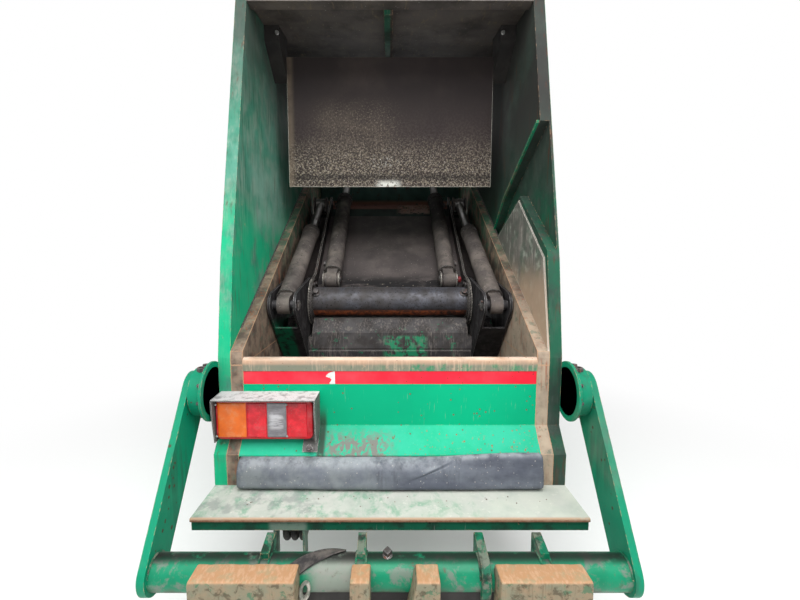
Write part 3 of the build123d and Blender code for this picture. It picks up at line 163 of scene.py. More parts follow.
class Effects:
    """The shader node groups that the finishes share, each built once when it is first asked for.

    Each takes a Coordinate, the Size of its marks in metres, the Cover of the surface from 0 to 1 and a
    Softness, and puts out a Mask from 0 to 1.
    """

    STREAK_STRETCH = 14.0
    CLOUD_SPREAD = 0.6
    SHARP = 0.012

    def __init__(self) -> None:
        """Starts with no group built."""
        self._trees: dict[Pattern, bpy.types.NodeTree] = {}

    def tree(self, pattern: Pattern) -> bpy.types.NodeTree:
        """Gives the node group of a pattern.

        Args:
            pattern: Kind of mark.

        Returns:
            The group's node tree, built now if it wasn't yet.
        """
        if pattern not in self._trees:
            self._trees[pattern] = self._build(pattern)
        return self._trees[pattern]

    def _build(self, pattern: Pattern) -> bpy.types.NodeTree:
        """Builds one group: its sockets, its nodes and its mask.

        Args:
            pattern: Kind of mark.

        Returns:
            The group's node tree.
        """
        tree = bpy.data.node_groups.new(pattern.value, "ShaderNodeTree")
        tree.interface.new_socket("Coordinate", in_out="INPUT", socket_type="NodeSocketVector")
        for name in ("Size", "Cover", "Softness"):
            tree.interface.new_socket(name, in_out="INPUT", socket_type="NodeSocketFloat")
        tree.interface.new_socket("Mask", in_out="OUTPUT", socket_type="NodeSocketFloat")
        graph = Graph(tree)
        given = graph.add("NodeGroupInput").outputs
        makers = {
            Pattern.CLOUDS: self._clouds,
            Pattern.FLAKES: self._flakes,
            Pattern.SPECKS: self._specks,
            Pattern.STREAKS: self._streaks,
            Pattern.EDGES: self._edges,
            Pattern.TOPS: self._tops,
        }
        graph.add("NodeGroupOutput", {"Mask": makers[pattern](graph, given)})
        return tree

    def _covered(self, graph: Graph, given: Given, height: Socket, sharp: float = 0.0) -> Socket:
        """Cuts a noise where the wanted cover lies, with a soft edge that a sharp pattern widens a little.

        Args:
            graph: Graph of the group.
            given: Its inputs.
            height: Height of the noise, from 0 to 1.
            sharp: What a sharp pattern adds to the softness.

        Returns:
            The mask.
        """
        middle = graph.math("MULTIPLY_ADD", given["Cover"], -self.CLOUD_SPREAD, 0.5 + self.CLOUD_SPREAD / 2)
        soft = graph.math("ADD", given["Softness"], sharp)
        return graph.ramp(height, graph.math("SUBTRACT", middle, soft), graph.math("ADD", middle, soft))

    def _scaled(self, graph: Graph, given: Given) -> Socket:
        """Coordinate in units of the marks' size."""
        return graph.scaled(given["Coordinate"], given["Size"])

    def _clouds(self, graph: Graph, given: Given) -> Socket:
        """Soft patches of fractal noise."""
        return self._covered(graph, given, graph.noise(self._scaled(graph, given), 5.0, 0.6))

    def _flakes(self, graph: Graph, given: Given) -> Socket:
        """Patches with ragged, sharp edges, as where paint has come off."""
        noise = graph.noise(self._scaled(graph, given), 8.0, 0.68, 0.35)
        return self._covered(graph, given, noise, self.SHARP)

    def _specks(self, graph: Graph, given: Given) -> Socket:
        """Round grains: one in each cell of a random grid, in as many cells as the cover says.

        Args:
            graph: Graph of the group.
            given: Its inputs.

        Returns:
            The mask.
        """
        cells = graph.add("ShaderNodeTexVoronoi", {"Vector": self._scaled(graph, given), "Scale": 1.0})
        chance = graph.add("ShaderNodeSeparateColor", {0: cells.outputs["Color"]})
        reach = graph.math("MULTIPLY_ADD", chance.outputs[1], 0.3, 0.16)
        inner = graph.math("SUBTRACT", reach, graph.math("ADD", given["Softness"], 0.05))
        round_grain = graph.math("SUBTRACT", 1.0, graph.ramp(cells.outputs["Distance"], inner, reach))
        return graph.math("MULTIPLY", round_grain, graph.math("LESS_THAN", chance.outputs[0], given["Cover"]))

    def _streaks(self, graph: Graph, given: Given) -> Socket:
        """Runs down Z: noise drawn out along it, thinned by broad clouds.

        Args:
            graph: Graph of the group.
            given: Its inputs.

        Returns:
            The mask.
        """
        scaled = self._scaled(graph, given)
        drawn = graph.add("ShaderNodeMapping", {"Vector": scaled, "Scale": (1, 1, 1 / self.STREAK_STRETCH)})
        lines = self._covered(graph, given, graph.noise(drawn.outputs[0], 4.0, 0.62))
        broad = graph.noise(graph.scaled(scaled, 9.0), 3.0, 0.5)
        return graph.math("MULTIPLY", lines, graph.ramp(broad, 0.38, 0.62))

    def _edges(self, graph: Graph, given: Given) -> Socket:
        """Edges rubbed bare: where a rounded normal leaves the true one, broken up by noise.

        Args:
            graph: Graph of the group.
            given: Its inputs.

        Returns:
            The mask.
        """
        rounded = graph.add("ShaderNodeBevel", {"Radius": given["Size"]}, samples=6).outputs[0]
        flat = graph.add("ShaderNodeNewGeometry").outputs["Normal"]
        turn = graph.add("ShaderNodeVectorMath", {0: rounded, 1: flat}, operation="DOT_PRODUCT").outputs
        near = graph.ramp(graph.math("SUBTRACT", 1.0, turn["Value"]), 0.01, 0.14)
        broad = graph.scaled(given["Coordinate"], graph.math("MULTIPLY", given["Size"], 5.0))
        return graph.math("MULTIPLY", near, self._covered(graph, given, graph.noise(broad, 5.0, 0.66)))

    def _tops(self, graph: Graph, given: Given) -> Socket:
        """Dust that settles on what faces up, in patches.

        Args:
            graph: Graph of the group.
            given: Its inputs.

        Returns:
            The mask.
        """
        upright = graph.add("ShaderNodeTexCoord").outputs["Normal"]
        facing = graph.add("ShaderNodeSeparateXYZ", {0: upright}).outputs["Z"]
        patches = self._covered(graph, given, graph.noise(self._scaled(graph, given), 4.0, 0.6))
        return graph.math("MULTIPLY", graph.ramp(facing, 0.3, 0.9), patches)


EFFECTS = Effects()


@dataclass(frozen=True)
class Fade:
    """Where along an axis a layer is full and where it is gone."""

    axis: Axis
    full: float
    gone: float

    def share(self, graph: Graph, place: object) -> Socket:
        """Gives the share that is left at a place.

        Args:
            graph: Graph of the material.
            place: Object coordinate.

        Returns:
            The share, from 0 to 1.
        """
        along = graph.add("ShaderNodeSeparateXYZ", {0: place}).outputs[self.axis.value]
        if self.full > self.gone:
            return graph.ramp(along, self.gone, self.full)
        return graph.math("SUBTRACT", 1.0, graph.ramp(along, self.full, self.gone))


@dataclass(frozen=True)
class Layer:
    """One coat over what lies under it: wear, dirt or dust, and on some finishes painted light and shade.

    Attributes:
        pattern: Kind of mark.
        colour: Colour of the coat.
        cover: Share of the surface that the pattern takes.
        size: Size of its marks.
        softness: Width of its edges, in noise height.
        strength: How opaque it is.
        roughness: Roughness of the coat.
        metallic: Metal share of the coat.
        depth: Relief of the coat in metres, below zero where it is worn in.
        stretch: How many times longer the marks are along each axis.
        fades: Where on the object it lies.
    """

    pattern: Pattern
    colour: Colour
    cover: float = 0.5
    size: float = 0.05
    softness: float = 0.06
    strength: float = 1.0
    roughness: float = 0.75
    metallic: float = 0.0
    depth: float = 0.0
    stretch: tuple[float, float, float] = (1.0, 1.0, 1.0)
    fades: tuple[Fade, ...] = ()

    def fading(self, axis: Axis, full: float, gone: float) -> "Layer":
        """Copies the layer so that it is full at one place along an axis and gone at another."""
        return replace(self, fades=(*self.fades, Fade(axis, full, gone)))

    def inside(self, axis: Axis, low: float, high: float, soft: float) -> "Layer":
        """Copies the layer so that it lies between two places along an axis, with a soft length at each."""
        return self.fading(axis, low + soft, low - soft).fading(axis, high - soft, high + soft)

    def mask(self, graph: Graph, place: object, seed: float) -> Socket:
        """Builds the coat's mask.

        Args:
            graph: Graph of the material.
            place: Object coordinate.
            seed: Offset that sets this layer's noise apart from the others'.

        Returns:
            The mask, from 0 to 1.
        """
        mask: object = self.strength
        if self.pattern is not Pattern.EVEN:
            scale = tuple(1 / share for share in self.stretch)
            moved = {"Vector": place, "Location": (seed, -seed, seed), "Scale": scale}
            mapped = graph.add("ShaderNodeMapping", moved).outputs[0]
            values = {"Size": self.size, "Cover": self.cover, "Softness": self.softness}
            tree = EFFECTS.tree(self.pattern)
            marks = graph.add("ShaderNodeGroup", {"Coordinate": mapped, **values}, node_tree=tree).outputs[0]
            mask = graph.math("MULTIPLY", marks, self.strength)
        for fade in self.fades:
            mask = graph.math("MULTIPLY", mask, fade.share(graph, place))
        return mask


@dataclass(frozen=True)
class Finish:
    """A surface: a base of two close tones, grain, and the coats over it.

    Attributes:
        name: The material's name.
        colour: Base colour.
        second: Colour that the base drifts to.
        drift: Size of the drift.
        roughness: Base roughness.
        grain: Size of the base's relief.
        relief: Height of the base's relief.
        metallic: Base metal share.
        coat: Weight of a clear coat.
        specular: Specular level of what isn't metal.
        layers: Coats, from the lowest.
    """

    name: str
    colour: Colour
    second: Colour
    drift: float
    roughness: float
    grain: float
    relief: float
    metallic: float = 0.0
    coat: float = 0.0
    specular: float = 0.35
    layers: tuple[Layer, ...] = ()

    SEED_STEP = 7.31
    ROUGHNESS_SPREAD = 0.16
    COAT_ROUGHNESS = 0.08

    def under(self, *layers: Layer) -> "Finish":
        """Copies the finish with more coats over it, from the lowest."""
        return replace(self, layers=(*self.layers, *layers))

    def material(self) -> bpy.types.Material:
        """Builds the material, or gives it if it is there.

        Returns:
            The material with this finish's name.
        """
        found = bpy.data.materials.get(self.name)
        if found is not None:
            return found
        made = bpy.data.materials.new(self.name)
        made.use_nodes = True
        graph = Graph(made.node_tree)
        place = graph.add("ShaderNodeTexCoord").outputs["Object"]
        tone = graph.noise(graph.scaled(place, self.drift), 5.0, 0.6)
        colour = graph.mix(graph.ramp(tone, 0.3, 0.7), paint(self.colour), paint(self.second))
        fine = graph.noise(graph.scaled(place, self.grain), 3.0, 0.6)
        smoothest = self.roughness - self.ROUGHNESS_SPREAD / 2
        rough = graph.math("MULTIPLY_ADD", fine, self.ROUGHNESS_SPREAD, smoothest)
        metal: object = self.metallic
        height = graph.math("MULTIPLY", fine, self.relief)
        for number, layer in enumerate(self.layers, start=1):
            mask = layer.mask(graph, place, number * self.SEED_STEP)
            colour = graph.mix(mask, colour, paint(layer.colour))
            rough = graph.between(mask, rough, layer.roughness)
            if layer.metallic != self.metallic or isinstance(metal, Socket):
                metal = graph.between(mask, metal, layer.metallic)
            if layer.depth:
                height = graph.math("MULTIPLY_ADD", mask, layer.depth, height)
        normal = graph.add("ShaderNodeBump", {"Height": height, "Distance": 1.0, "Strength": 1.0}).outputs[0]
        sockets = {"Base Color": colour, "Roughness": rough, "Metallic": metal, "Normal": normal}
        clear = {"Coat Weight": self.coat, "Coat Roughness": self.COAT_ROUGHNESS}
        gloss = {"Specular IOR Level": self.specular}
        shader = graph.add("ShaderNodeBsdfPrincipled", {**sockets, **clear, **gloss})
        graph.add("ShaderNodeOutputMaterial", {0: shader.outputs[0]})
        return made


# A layer's numbers are its cover, size, softness and strength, and a finish's are its drift, roughness,
# grain and relief.
even, clouds, flakes, specks, streaks, edges, tops = (partial(Layer, pattern) for pattern in Pattern)

BARE_EDGES = edges(TAN, 0.42, 0.004, 0.06, 0.8, roughness=0.5, depth=-0.0002)
BRIGHT_GREEN = Finish(
    "bright_green_paint", (0, 172, 124), (0, 160, 116), 0.5, 0.5, 0.02, 0.0002, specular=0.12,
).under(
    clouds((70, 192, 164), 0.62, 0.2, 0.25, 0.6).fading(Z, -2.14, -2.128),
    flakes((122, 122, 116), 0.54, 0.022, 0.05, stretch=(1, 1, 1.8))
    .inside(X, -0.27, 0.0, 0.05).fading(Z, -2.19, -2.13),
    flakes((150, 126, 96), 0.3, 0.016, 0.02, 0.85, stretch=(1, 1, 1.8))
    .fading(X, 0.4, 0.05).fading(Z, -2.2, -2.14),
    # Dark strip on the sill just right of the lamp guard: grime with the guard's painted shadow.
    clouds((58, 56, 52), 0.75, 0.05, 0.14, 0.85).inside(X, -0.292, -0.262, 0.008).fading(Z, -2.13, -2.03),
    flakes((120, 96, 70), 0.2, 0.022, 0.01, depth=-0.0003, stretch=(1, 1, 1.5)).fading(Z, -2.145, -2.125),
    streaks((150, 170, 150), 0.2, 0.006, 0.05, 0.35),
    specks((104, 92, 62), 0.05, 0.012, 0.06, 0.85, depth=-0.0003),
    specks((150, 100, 60), 0.16, 0.01, 0.06, 0.85, depth=-0.0003)
    .fading(X, 0.3, -0.1).fading(Z, -2.16, -2.13),
    flakes(CHALK, 0.045, 0.03, 0.004, 0.9, depth=-0.0002),
    BARE_EDGES,
)
OUTER_GREEN = Finish(
    "outer_green_paint", (0, 138, 102), (4, 120, 90), 0.6, 0.45, 0.02, 0.0003, specular=0.2,
).under(
    streaks((50, 84, 70), 0.45, 0.03, 0.1, 0.55),
    clouds(ASH, 0.25, 0.25, 0.12, 0.3),
    flakes(DARK_RUST, 0.12, depth=-0.0003),
    specks(DARK_RUST, 0.06, 0.018, 0.06, 0.8),
    BARE_EDGES,
)
LEFT_WALL = Finish(
    "left_wall_paint", (54, 134, 108), (80, 142, 122), 0.3, 0.5, 0.012, 0.0003, specular=0.2,
).under(
    streaks((156, 164, 152), 0.58, 0.01, 0.16, 0.5),
    streaks((28, 100, 76), 0.5, 0.016, 0.14, 0.6),
    # Darker towards the top: painted shade under the roof.
    clouds((58, 62, 58), 0.74, 0.3, 0.2, 0.85).fading(Z, -0.4, -1.0),
    clouds((0, 172, 122), 0.62, 0.16, 0.12, 0.85).fading(Z, -1.4, -1.1),
    # Darker deeper into the hopper, away from the opening: painted shade.
    clouds((66, 76, 70), 0.7, 0.3, 0.2, 0.25).fading(Y, -1.0, -1.5),
    # Pale patch on the lower wall above the rail, far in: a painted pool of light.
    clouds((140, 174, 160), 0.7, 0.14, 0.2, 0.6).inside(Y, -1.75, -1.2, 0.12).inside(Z, -1.3, -0.98, 0.08),
    even((0, 128, 94), strength=0.9).fading(X, -0.7, -0.698),
    streaks((50, 84, 70), 0.45, 0.03, 0.1, 0.55).fading(X, -0.7, -0.698),
    streaks(DARK_RUST, 0.3, 0.02, 0.06, 0.6),
    flakes(TAN, 0.16, 0.045, 0.06, 0.8, depth=-0.0003).fading(Z, -1.25, -1.0),
    BARE_EDGES,
)
RIGHT_WALL = Finish(
    "right_wall_paint", (36, 60, 50), (52, 68, 60), 0.3, 0.52, 0.012, 0.0003, specular=0.2,
).under(
    streaks((84, 92, 84), 0.5, 0.01, 0.14, 0.45),
    # Darker towards the top: painted shade under the roof.
    clouds((46, 43, 42), 0.72, 0.34, 0.2, 0.85).fading(Z, -0.7, -1.15),
    clouds((14, 92, 66), 0.5, 0.12, 0.14, 0.7).fading(Z, -1.25, -1.0),
    even((8, 122, 88), strength=0.95).fading(X, 0.6485, 0.6495),
    streaks((112, 104, 88), 0.55, 0.012, 0.12, 0.8, stretch=(1, 2.5, 1)).fading(X, 0.6485, 0.6495),
    even((0, 128, 94), strength=0.9).fading(X, 0.7, 0.698),
    streaks((50, 84, 70), 0.45, 0.03, 0.1, 0.55).fading(X, 0.7, 0.698),
    streaks(DARK_RUST, 0.3, 0.02, 0.06, 0.6),
    BARE_EDGES,
)
DARK_STEEL = Finish("grimy_dark_steel", (84, 78, 76), (98, 90, 84), 0.3, 0.62, 0.006, 0.00025).under(
    clouds(SOOT_AND_SHADE, 0.42, 0.2, 0.16, 0.6),
    clouds((110, 100, 90), 0.3, 0.09, 0.1, 0.35),
    flakes((128, 112, 88), 0.3, 0.016, 0.03, 0.5, stretch=(1.2, 6, 1)),
    specks(GRIT, 0.03, 0.007, 0.06, 0.4),
    edges((104, 96, 90), 0.45, 0.004, 0.06, 0.6, roughness=0.45),
)
ROOF_PAINT = replace(DARK_STEEL, name="roof_paint").under(
    tops((0, 130, 96), 1.4, 0.3),
    tops((70, 104, 88), 0.45, 0.22, 0.16, 0.7),
    tops(DARK_RUST, 0.12, 0.05, 0.01, depth=-0.0003),
)
HANGER_STEEL = Finish("sooty_hanger_steel", (44, 42, 41), (56, 52, 50), 0.2, 0.6, 0.006, 0.00025).under(
    clouds(SOOT_AND_SHADE, 0.5, 0.1, 0.16, 0.6),
    edges(ASH, 0.3, 0.003, 0.06, 0.5, roughness=0.45),
)
SIDE_PLATE_STEEL = Finish(
    "oiled_side_plate_steel", (70, 66, 65), (56, 52, 52), 0.2, 0.5, 0.006, 0.00025, metallic=0.15,
).under(
    clouds(SOOT_AND_SHADE, 0.5, 0.1, 0.16, 0.7),
    clouds(RUST, 0.22, 0.04, 0.1, 0.4),
    edges((190, 184, 174), 0.85, 0.006, roughness=0.4, metallic=0.4),
)
DECK_STEEL = Finish("dusty_deck_steel", (96, 88, 86), (80, 74, 73), 0.2, 0.6, 0.005, 0.0002).under(
    clouds((126, 116, 112), 0.4, 0.14, 0.14, 0.7).inside(X, -0.16, 0.24, 0.12),
    # Darker towards the upper end: painted shade under the shield.
    clouds(SOOT_AND_SHADE, 0.5, 0.22, 0.18, 0.4).fading(Z, -1.15, -1.3),
    even((62, 56, 55), strength=0.5).fading(Z, -1.6, -1.36),
    clouds((26, 24, 25), 0.62, 0.05, 0.1, stretch=(2.6, 1, 1)).fading(Z, -1.6, -1.54),
    streaks((60, 54, 52), 0.3, 0.012, 0.1, 0.4),
    specks(GRIT, 0.04, 0.006, 0.06, 0.45),
    even((34, 60, 50), strength=0.9).inside(Z, -1.142, -1.046, 0.004),
    clouds(SOOT_AND_SHADE, 0.45, 0.08, 0.12, 0.6).inside(Z, -1.142, -1.046, 0.004),
    flakes((140, 96, 84), 0.85, 0.07, 0.04, depth=-0.0003).inside(Z, -1.08, -1.044, 0.006),
    flakes((178, 146, 134), 0.6, 0.04, 0.01, depth=-0.0004)
    .inside(X, 0.07, 0.3, 0.03).inside(Z, -1.12, -1.05, 0.012),
    edges(ASH, 0.5, 0.004, 0.06, 0.75, roughness=0.42, metallic=0.4),
)
SHIELD_STEEL = Finish(
    "pitted_shield_steel", (60, 51, 50), (70, 61, 57), 0.25, 0.66, 0.004, 0.0003, specular=0.25,
).under(
    # Darker towards the top: painted shade under the roof.
    clouds((44, 38, 38), 0.7, 0.3, 0.25, 0.9).fading(Z, -0.5, -0.85),
    clouds((96, 84, 78), 0.5, 0.16, 0.18, 0.7).fading(Z, -0.92, -0.72),
    clouds((92, 82, 74), 0.62, 0.12, 0.18, 0.7).inside(X, -0.42, 0.0, 0.09).inside(Z, -0.95, -0.62, 0.1),
    flakes((156, 146, 128), 0.5, 0.009, 0.03, 0.85, depth=0.0002).fading(Z, -0.98, -0.74),
    flakes((140, 130, 114), 0.38, 0.009, 0.03, 0.7, depth=0.0002)
    .inside(X, -0.4, 0.02, 0.1).inside(Z, -0.98, -0.62, 0.1),
    flakes((40, 33, 32), 0.52, 0.011, 0.02, 0.9, depth=-0.0002).fading(Z, -0.95, -0.45),
    specks(GRIT, 0.3, 0.007, 0.06, 0.8).fading(Z, -0.99, -0.7),
    flakes(CHALK, 0.6, 0.016, 0.02, 0.9).inside(X, -0.07, 0.05, 0.03).fading(Z, -1.03, -0.995),
    flakes(CHALK, 0.34, 0.012, 0.03, 0.7).inside(X, -0.12, 0.02, 0.05).inside(Z, -0.935, -0.875, 0.025),
    clouds(SOOT_AND_SHADE, 0.75, 0.12, 0.16, 0.6).inside(Z, -1.005, -0.975, 0.012),
    clouds((122, 108, 92), 0.7, 0.09, 0.22, 0.6).fading(X, -0.562, -0.53),
    edges((214, 212, 200), 0.8, 0.004, roughness=0.4, metallic=0.3).fading(Z, -0.6, -0.35),
)
WEAR_STEEL = Finish(
    "scratched_wear_plate", (124, 120, 114), (104, 108, 100), 0.12, 0.48, 0.006, 0.0002, metallic=0.15,
).under(
    clouds((52, 100, 78), 0.36, 0.1, 0.12, 0.5),
    # Darker towards the top: painted shade.
    clouds((76, 76, 72), 0.4, 0.16, 0.14, 0.6).fading(Z, -1.2, -1.5),
    streaks(GRIT, 0.4, 0.007, 0.06, 0.55, stretch=(1, 1.6, 1)),
    clouds((176, 184, 170), 0.34, 0.07, 0.06, 0.6),
    clouds((182, 156, 132), 0.76, 0.14, 0.16, 0.85).fading(Z, -1.6, -1.42),
    edges(GRIT, 0.95, 0.009, metallic=0.3),
)
RAIL_STEEL = Finish(
    "rusty_guide_rail", (138, 118, 102), (152, 134, 116), 0.09, 0.6, 0.005, 0.0003, metallic=0.1,
).under(
    clouds((64, 54, 50), 0.5, 0.08, 0.12, 0.8),
    # Paler patch low on the right rail: a painted pool of light where the right side is lit more.
    clouds((196, 178, 156), 0.7, 0.1, 0.16, 0.6).fading(X, 0.5, 0.3).fading(Z, -1.75, -1.5),
    streaks(RUST, 0.34, 0.012, 0.08, 0.7),
    flakes((40, 100, 76), 0.5, 0.07, 0.06, 0.75).fading(Z, -1.25, -1.62),
    flakes((92, 112, 96), 0.34, 0.04, 0.04, 0.6),
    edges(TAN, 0.8, 0.008, metallic=0.3),
)
GIRDER_GREEN = Finish(
    "grimy_green_paint", (72, 104, 96), (76, 108, 102), 0.2, 0.5, 0.008, 0.0003, specular=0.25,
).under(
    clouds(SOOT_AND_SHADE, 0.45, 0.15, 0.14, 0.35),
    flakes((176, 132, 116), 0.74, 0.07, 0.03, depth=-0.0004)
    .inside(Z, -1.03, -0.962, 0.012).fading(Y, -0.05, -0.03),
    flakes(DARK_RUST, 0.26, 0.06, depth=-0.0003),
    streaks(ASH, 0.2, 0.012, 0.06, 0.4),
    BARE_EDGES,
)
RIB_GREEN = Finish(
    "worn_rib_paint", (12, 76, 54), (22, 84, 62), 0.12, 0.5, 0.008, 0.0003, specular=0.25,
).under(
    flakes((70, 60, 52), 0.66, 0.06, 0.05, depth=-0.0003).fading(X, 0.004, -0.002),
    clouds(SOOT_AND_SHADE, 0.42, 0.12, 0.14, 0.7),
    streaks(ASH, 0.25, 0.01, 0.06, 0.5),
    BARE_EDGES,
)
BEAM_GREEN = Finish(
    "ledge_beam_paint", (6, 78, 56), (10, 90, 66), 0.2, 0.46, 0.008, 0.0003, specular=0.25,
).under(
    clouds((110, 128, 116), 0.72, 0.05, 0.1, 0.85).inside(X, -0.425, -0.295, 0.01),
    clouds(SOOT_AND_SHADE, 0.4, 0.08, 0.1, 0.7),
    flakes((150, 154, 140), 0.12, 0.03, 0.02, 0.8),
    streaks(CHALK, 0.16, 0.006, 0.06, 0.35),
    BARE_EDGES,
)
BARREL_PAINT = Finish(
    "dusty_cylinder_paint", (98, 91, 87), (84, 78, 76), 0.14, 0.7, 0.004, 0.0002, specular=0.25,
).under(
    clouds((136, 126, 118), 0.4, 0.1, 0.14, 0.6),
    # Darker towards the upper ends, where the barrels run into shade: painted shade.
    clouds(SOOT_AND_SHADE, 0.6, 0.3, 0.2, 0.85).fading(Z, -1.15, -1.42),
    clouds(CHARCOAL, 0.35, 0.07, 0.12, 0.6),
    specks(CHARCOAL, 0.12, 0.012, 0.06, 0.6),
    specks(GRIT, 0.06, 0.006, 0.06, 0.5),
    edges(STEEL, 0.5, 0.003, 0.06, 0.8, roughness=0.35, metallic=0.6),
)
ROD_STEEL = Finish(
    "dull_rod_chrome", (150, 148, 146), (128, 126, 124), 0.05, 0.3, 0.003, 0.00005, metallic=0.85,
).under(
    clouds(ASH, 0.45, 0.04, 0.12, 0.6),
    streaks(CHARCOAL, 0.3, 0.006, 0.06, 0.5),
)
TUBE_STEEL = Finish(
    "polished_hinge_tube", (96, 97, 105), (78, 78, 84), 0.12, 0.38, 0.005, 0.0003, metallic=0.4,
).under(
    clouds(CHARCOAL, 0.5, 0.06, 0.14, 0.7, roughness=0.6),
    # Darker left part, so that the right part reads brighter: painted shade.
    clouds((70, 65, 63), 0.55, 0.09, 0.16, 0.75, roughness=0.62).fading(X, -0.1, 0.16),
    flakes((52, 48, 47), 0.4, 0.016, 0.06, 0.6, depth=-0.0003),
    specks(SOOT_AND_SHADE, 0.25, 0.01, 0.06, 0.7),
    flakes((14, 96, 68), 0.2, 0.04, 0.02, 0.7),
    # Darker lower half: painted shade under the tube.
    clouds(SOOT_AND_SHADE, 0.78, 0.05, 0.2, 0.9).fading(Z, -1.752, -1.715),
    clouds((168, 88, 50), 0.86, 0.03, 0.1, 0.95, depth=0.0008).inside(Z, -1.773, -1.744, 0.007),
    flakes(DARK_RUST, 0.5, 0.025, 0.05, 0.85).inside(Z, -1.778, -1.738, 0.004),
    # Darker patch at the right end of the lower half.
    clouds(SOOT_AND_SHADE, 0.6, 0.04, 0.1, 0.7).fading(X, 0.3, 0.24).fading(Z, -1.75, -1.735),
)
BLADE_STEEL = Finish(
    "worn_blade_steel", (66, 63, 63), (56, 54, 56), 0.16, 0.5, 0.006, 0.0003, metallic=0.1, specular=0.3,
).under(
    clouds((90, 86, 85), 0.4, 0.12, 0.16, 0.6),
    clouds(CHARCOAL, 0.46, 0.08, 0.1, 0.75),
    flakes((126, 120, 112), 0.32, 0.04, 0.01, 0.5).fading(Z, -1.9, -1.95),
    clouds((52, 50, 52), 0.6, 0.14, 0.14, 0.75).fading(Z, -1.965, -1.955),
    flakes((28, 150, 104), 0.52, 0.06, 0.02, 0.8).inside(Z, -2.04, -1.885, 0.008).inside(X, -0.03, 0.2, 0.02),
    flakes((24, 130, 92), 0.27, 0.04, 0.02, 0.8),
    streaks(ASH, 0.4, 0.008, 0.08, 0.5),
    edges(ASH, 0.7, 0.006, roughness=0.4, metallic=0.4),
)
TROUGH_STEEL = Finish(
    "scoured_trough_steel", (92, 90, 88), (76, 76, 76), 0.2, 0.5, 0.006, 0.0003, metallic=0.25,
).under(
    clouds(SOOT_AND_SHADE, 0.5, 0.16, 0.16, 0.7),
    clouds((110, 84, 66), 0.3, 0.09, 0.1, 0.6),
    streaks(ASH, 0.3, 0.01, 0.06, 0.5),
)
ARM_STEEL = Finish(
    "arm_dark_steel", (62, 60, 62), (50, 48, 50), 0.1, 0.48, 0.005, 0.0003, metallic=0.2,
).under(
    clouds(SOOT_AND_SHADE, 0.5, 0.06, 0.12, 0.8),
    clouds((6, 110, 76), 0.9, 0.06, 0.1).fading(Z, -1.80, -1.74).inside(X, -0.592, -0.5, 0.012),
    clouds(SOOT_AND_SHADE, 0.42, 0.04, 0.08, 0.8).fading(Z, -1.80, -1.74),
    edges(STEEL, 0.6, 0.004, roughness=0.35, metallic=0.6),
)
LIP_STEEL = Finish(
    "worn_lip_steel", (186, 152, 126), (168, 146, 126), 0.1, 0.5, 0.004, 0.0003, metallic=0.1, specular=0.25,
).under(
    clouds((104, 116, 102), 0.8, 0.03, 0.1, 0.85).fading(Z, -1.884, -1.868),
    flakes((30, 128, 90), 0.42, 0.05, 0.06, 0.85).fading(Z, -1.884, -1.866).fading(X, 0.1, -0.1),
    flakes((60, 106, 82), 0.24, 0.03, 0.06, 0.8).fading(Z, -1.884, -1.862),
    # Whitish band along the top edge: bright worn steel with a painted highlight.
    clouds((232, 212, 194), 0.6, 0.06, 0.14, 0.7, stretch=(2.5, 1, 1)).fading(Z, -1.853, -1.862),
    streaks((214, 184, 160), 0.4, 0.008, 0.1, 0.4),
    specks(DARK_RUST, 0.05, 0.008, 0.06, 0.7),
)
LEDGE_STEEL = Finish(
    "worn_ledge_paint", (196, 198, 190), (178, 186, 176), 0.1, 0.6, 0.004, 0.0003, specular=0.25,
).under(
    flakes((84, 156, 120), 0.4, 0.05, 0.08, 0.6, stretch=(1.2, 2, 1)).fading(X, 0.2, 0.5),
    # Paler towards the right: a painted highlight.
    clouds((200, 204, 192), 0.55, 0.1, 0.14, 0.7).fading(X, 0.5, -0.1),
    clouds((140, 146, 142), 0.4, 0.05, 0.08, 0.6).fading(X, -0.4, 0.1),
    flakes((214, 214, 204), 0.3, 0.02, 0.04, 0.6),
    clouds((192, 160, 134), 0.9, 0.05, 0.2).fading(Y, -2.4215, -2.408),
    flakes((120, 72, 50), 0.5, 0.02, 0.06, 0.85).fading(Z, -2.357, -2.353),
    clouds((112, 80, 60), 0.9, 0.03, 0.14, 0.8).fading(Z, -2.3565, -2.3535).fading(Y, -2.4215, -2.415),
)
COMB_STEEL = Finish(
    "worn_comb_steel", (142, 122, 98), (122, 122, 102), 0.05, 0.6, 0.004, 0.0004, specular=0.25,
).under(
    flakes((62, 108, 82), 0.36, 0.035, 0.02, 0.75),
    flakes((72, 62, 48), 0.4, 0.03, 0.04, 0.7),
    streaks((96, 82, 62), 0.35, 0.006, 0.08, 0.5),
    tops((180, 138, 102), 0.98, 0.04, 0.2, roughness=0.6),
    tops((150, 150, 120), 0.36, 0.03, 0.12, 0.7, roughness=0.6),
    tops((196, 160, 130), 0.4, 0.008, 0.1, 0.7, roughness=0.6, stretch=(1, 3, 1)),
    edges((140, 88, 60), 0.7, 0.006, roughness=0.5),
)
LIFT_GREEN = Finish(
    "chipped_lift_paint", (0, 136, 98), (0, 118, 84), 0.12, 0.42, 0.01, 0.0003, coat=0.1, specular=0.25,
).under(
    flakes((112, 122, 112), 0.42, 0.06, 0.05, 0.85, roughness=0.55),
    flakes((138, 140, 132), 0.7, 0.06, 0.08, 0.85).inside(X, -0.25, -0.1, 0.03),
    clouds((86, 84, 70), 0.5, 0.05, 0.14, 0.7).fading(Z, -2.495, -2.465),
    flakes((96, 84, 72), 0.24, depth=-0.0003),
    clouds(SOOT_AND_SHADE, 0.8, 0.05, 0.16, 0.85).fading(Z, -2.512, -2.487),
    clouds(SOOT_AND_SHADE, 0.8, 0.04, 0.12, 0.95).fading(Z, -2.404, -2.417),
    BARE_EDGES,
)
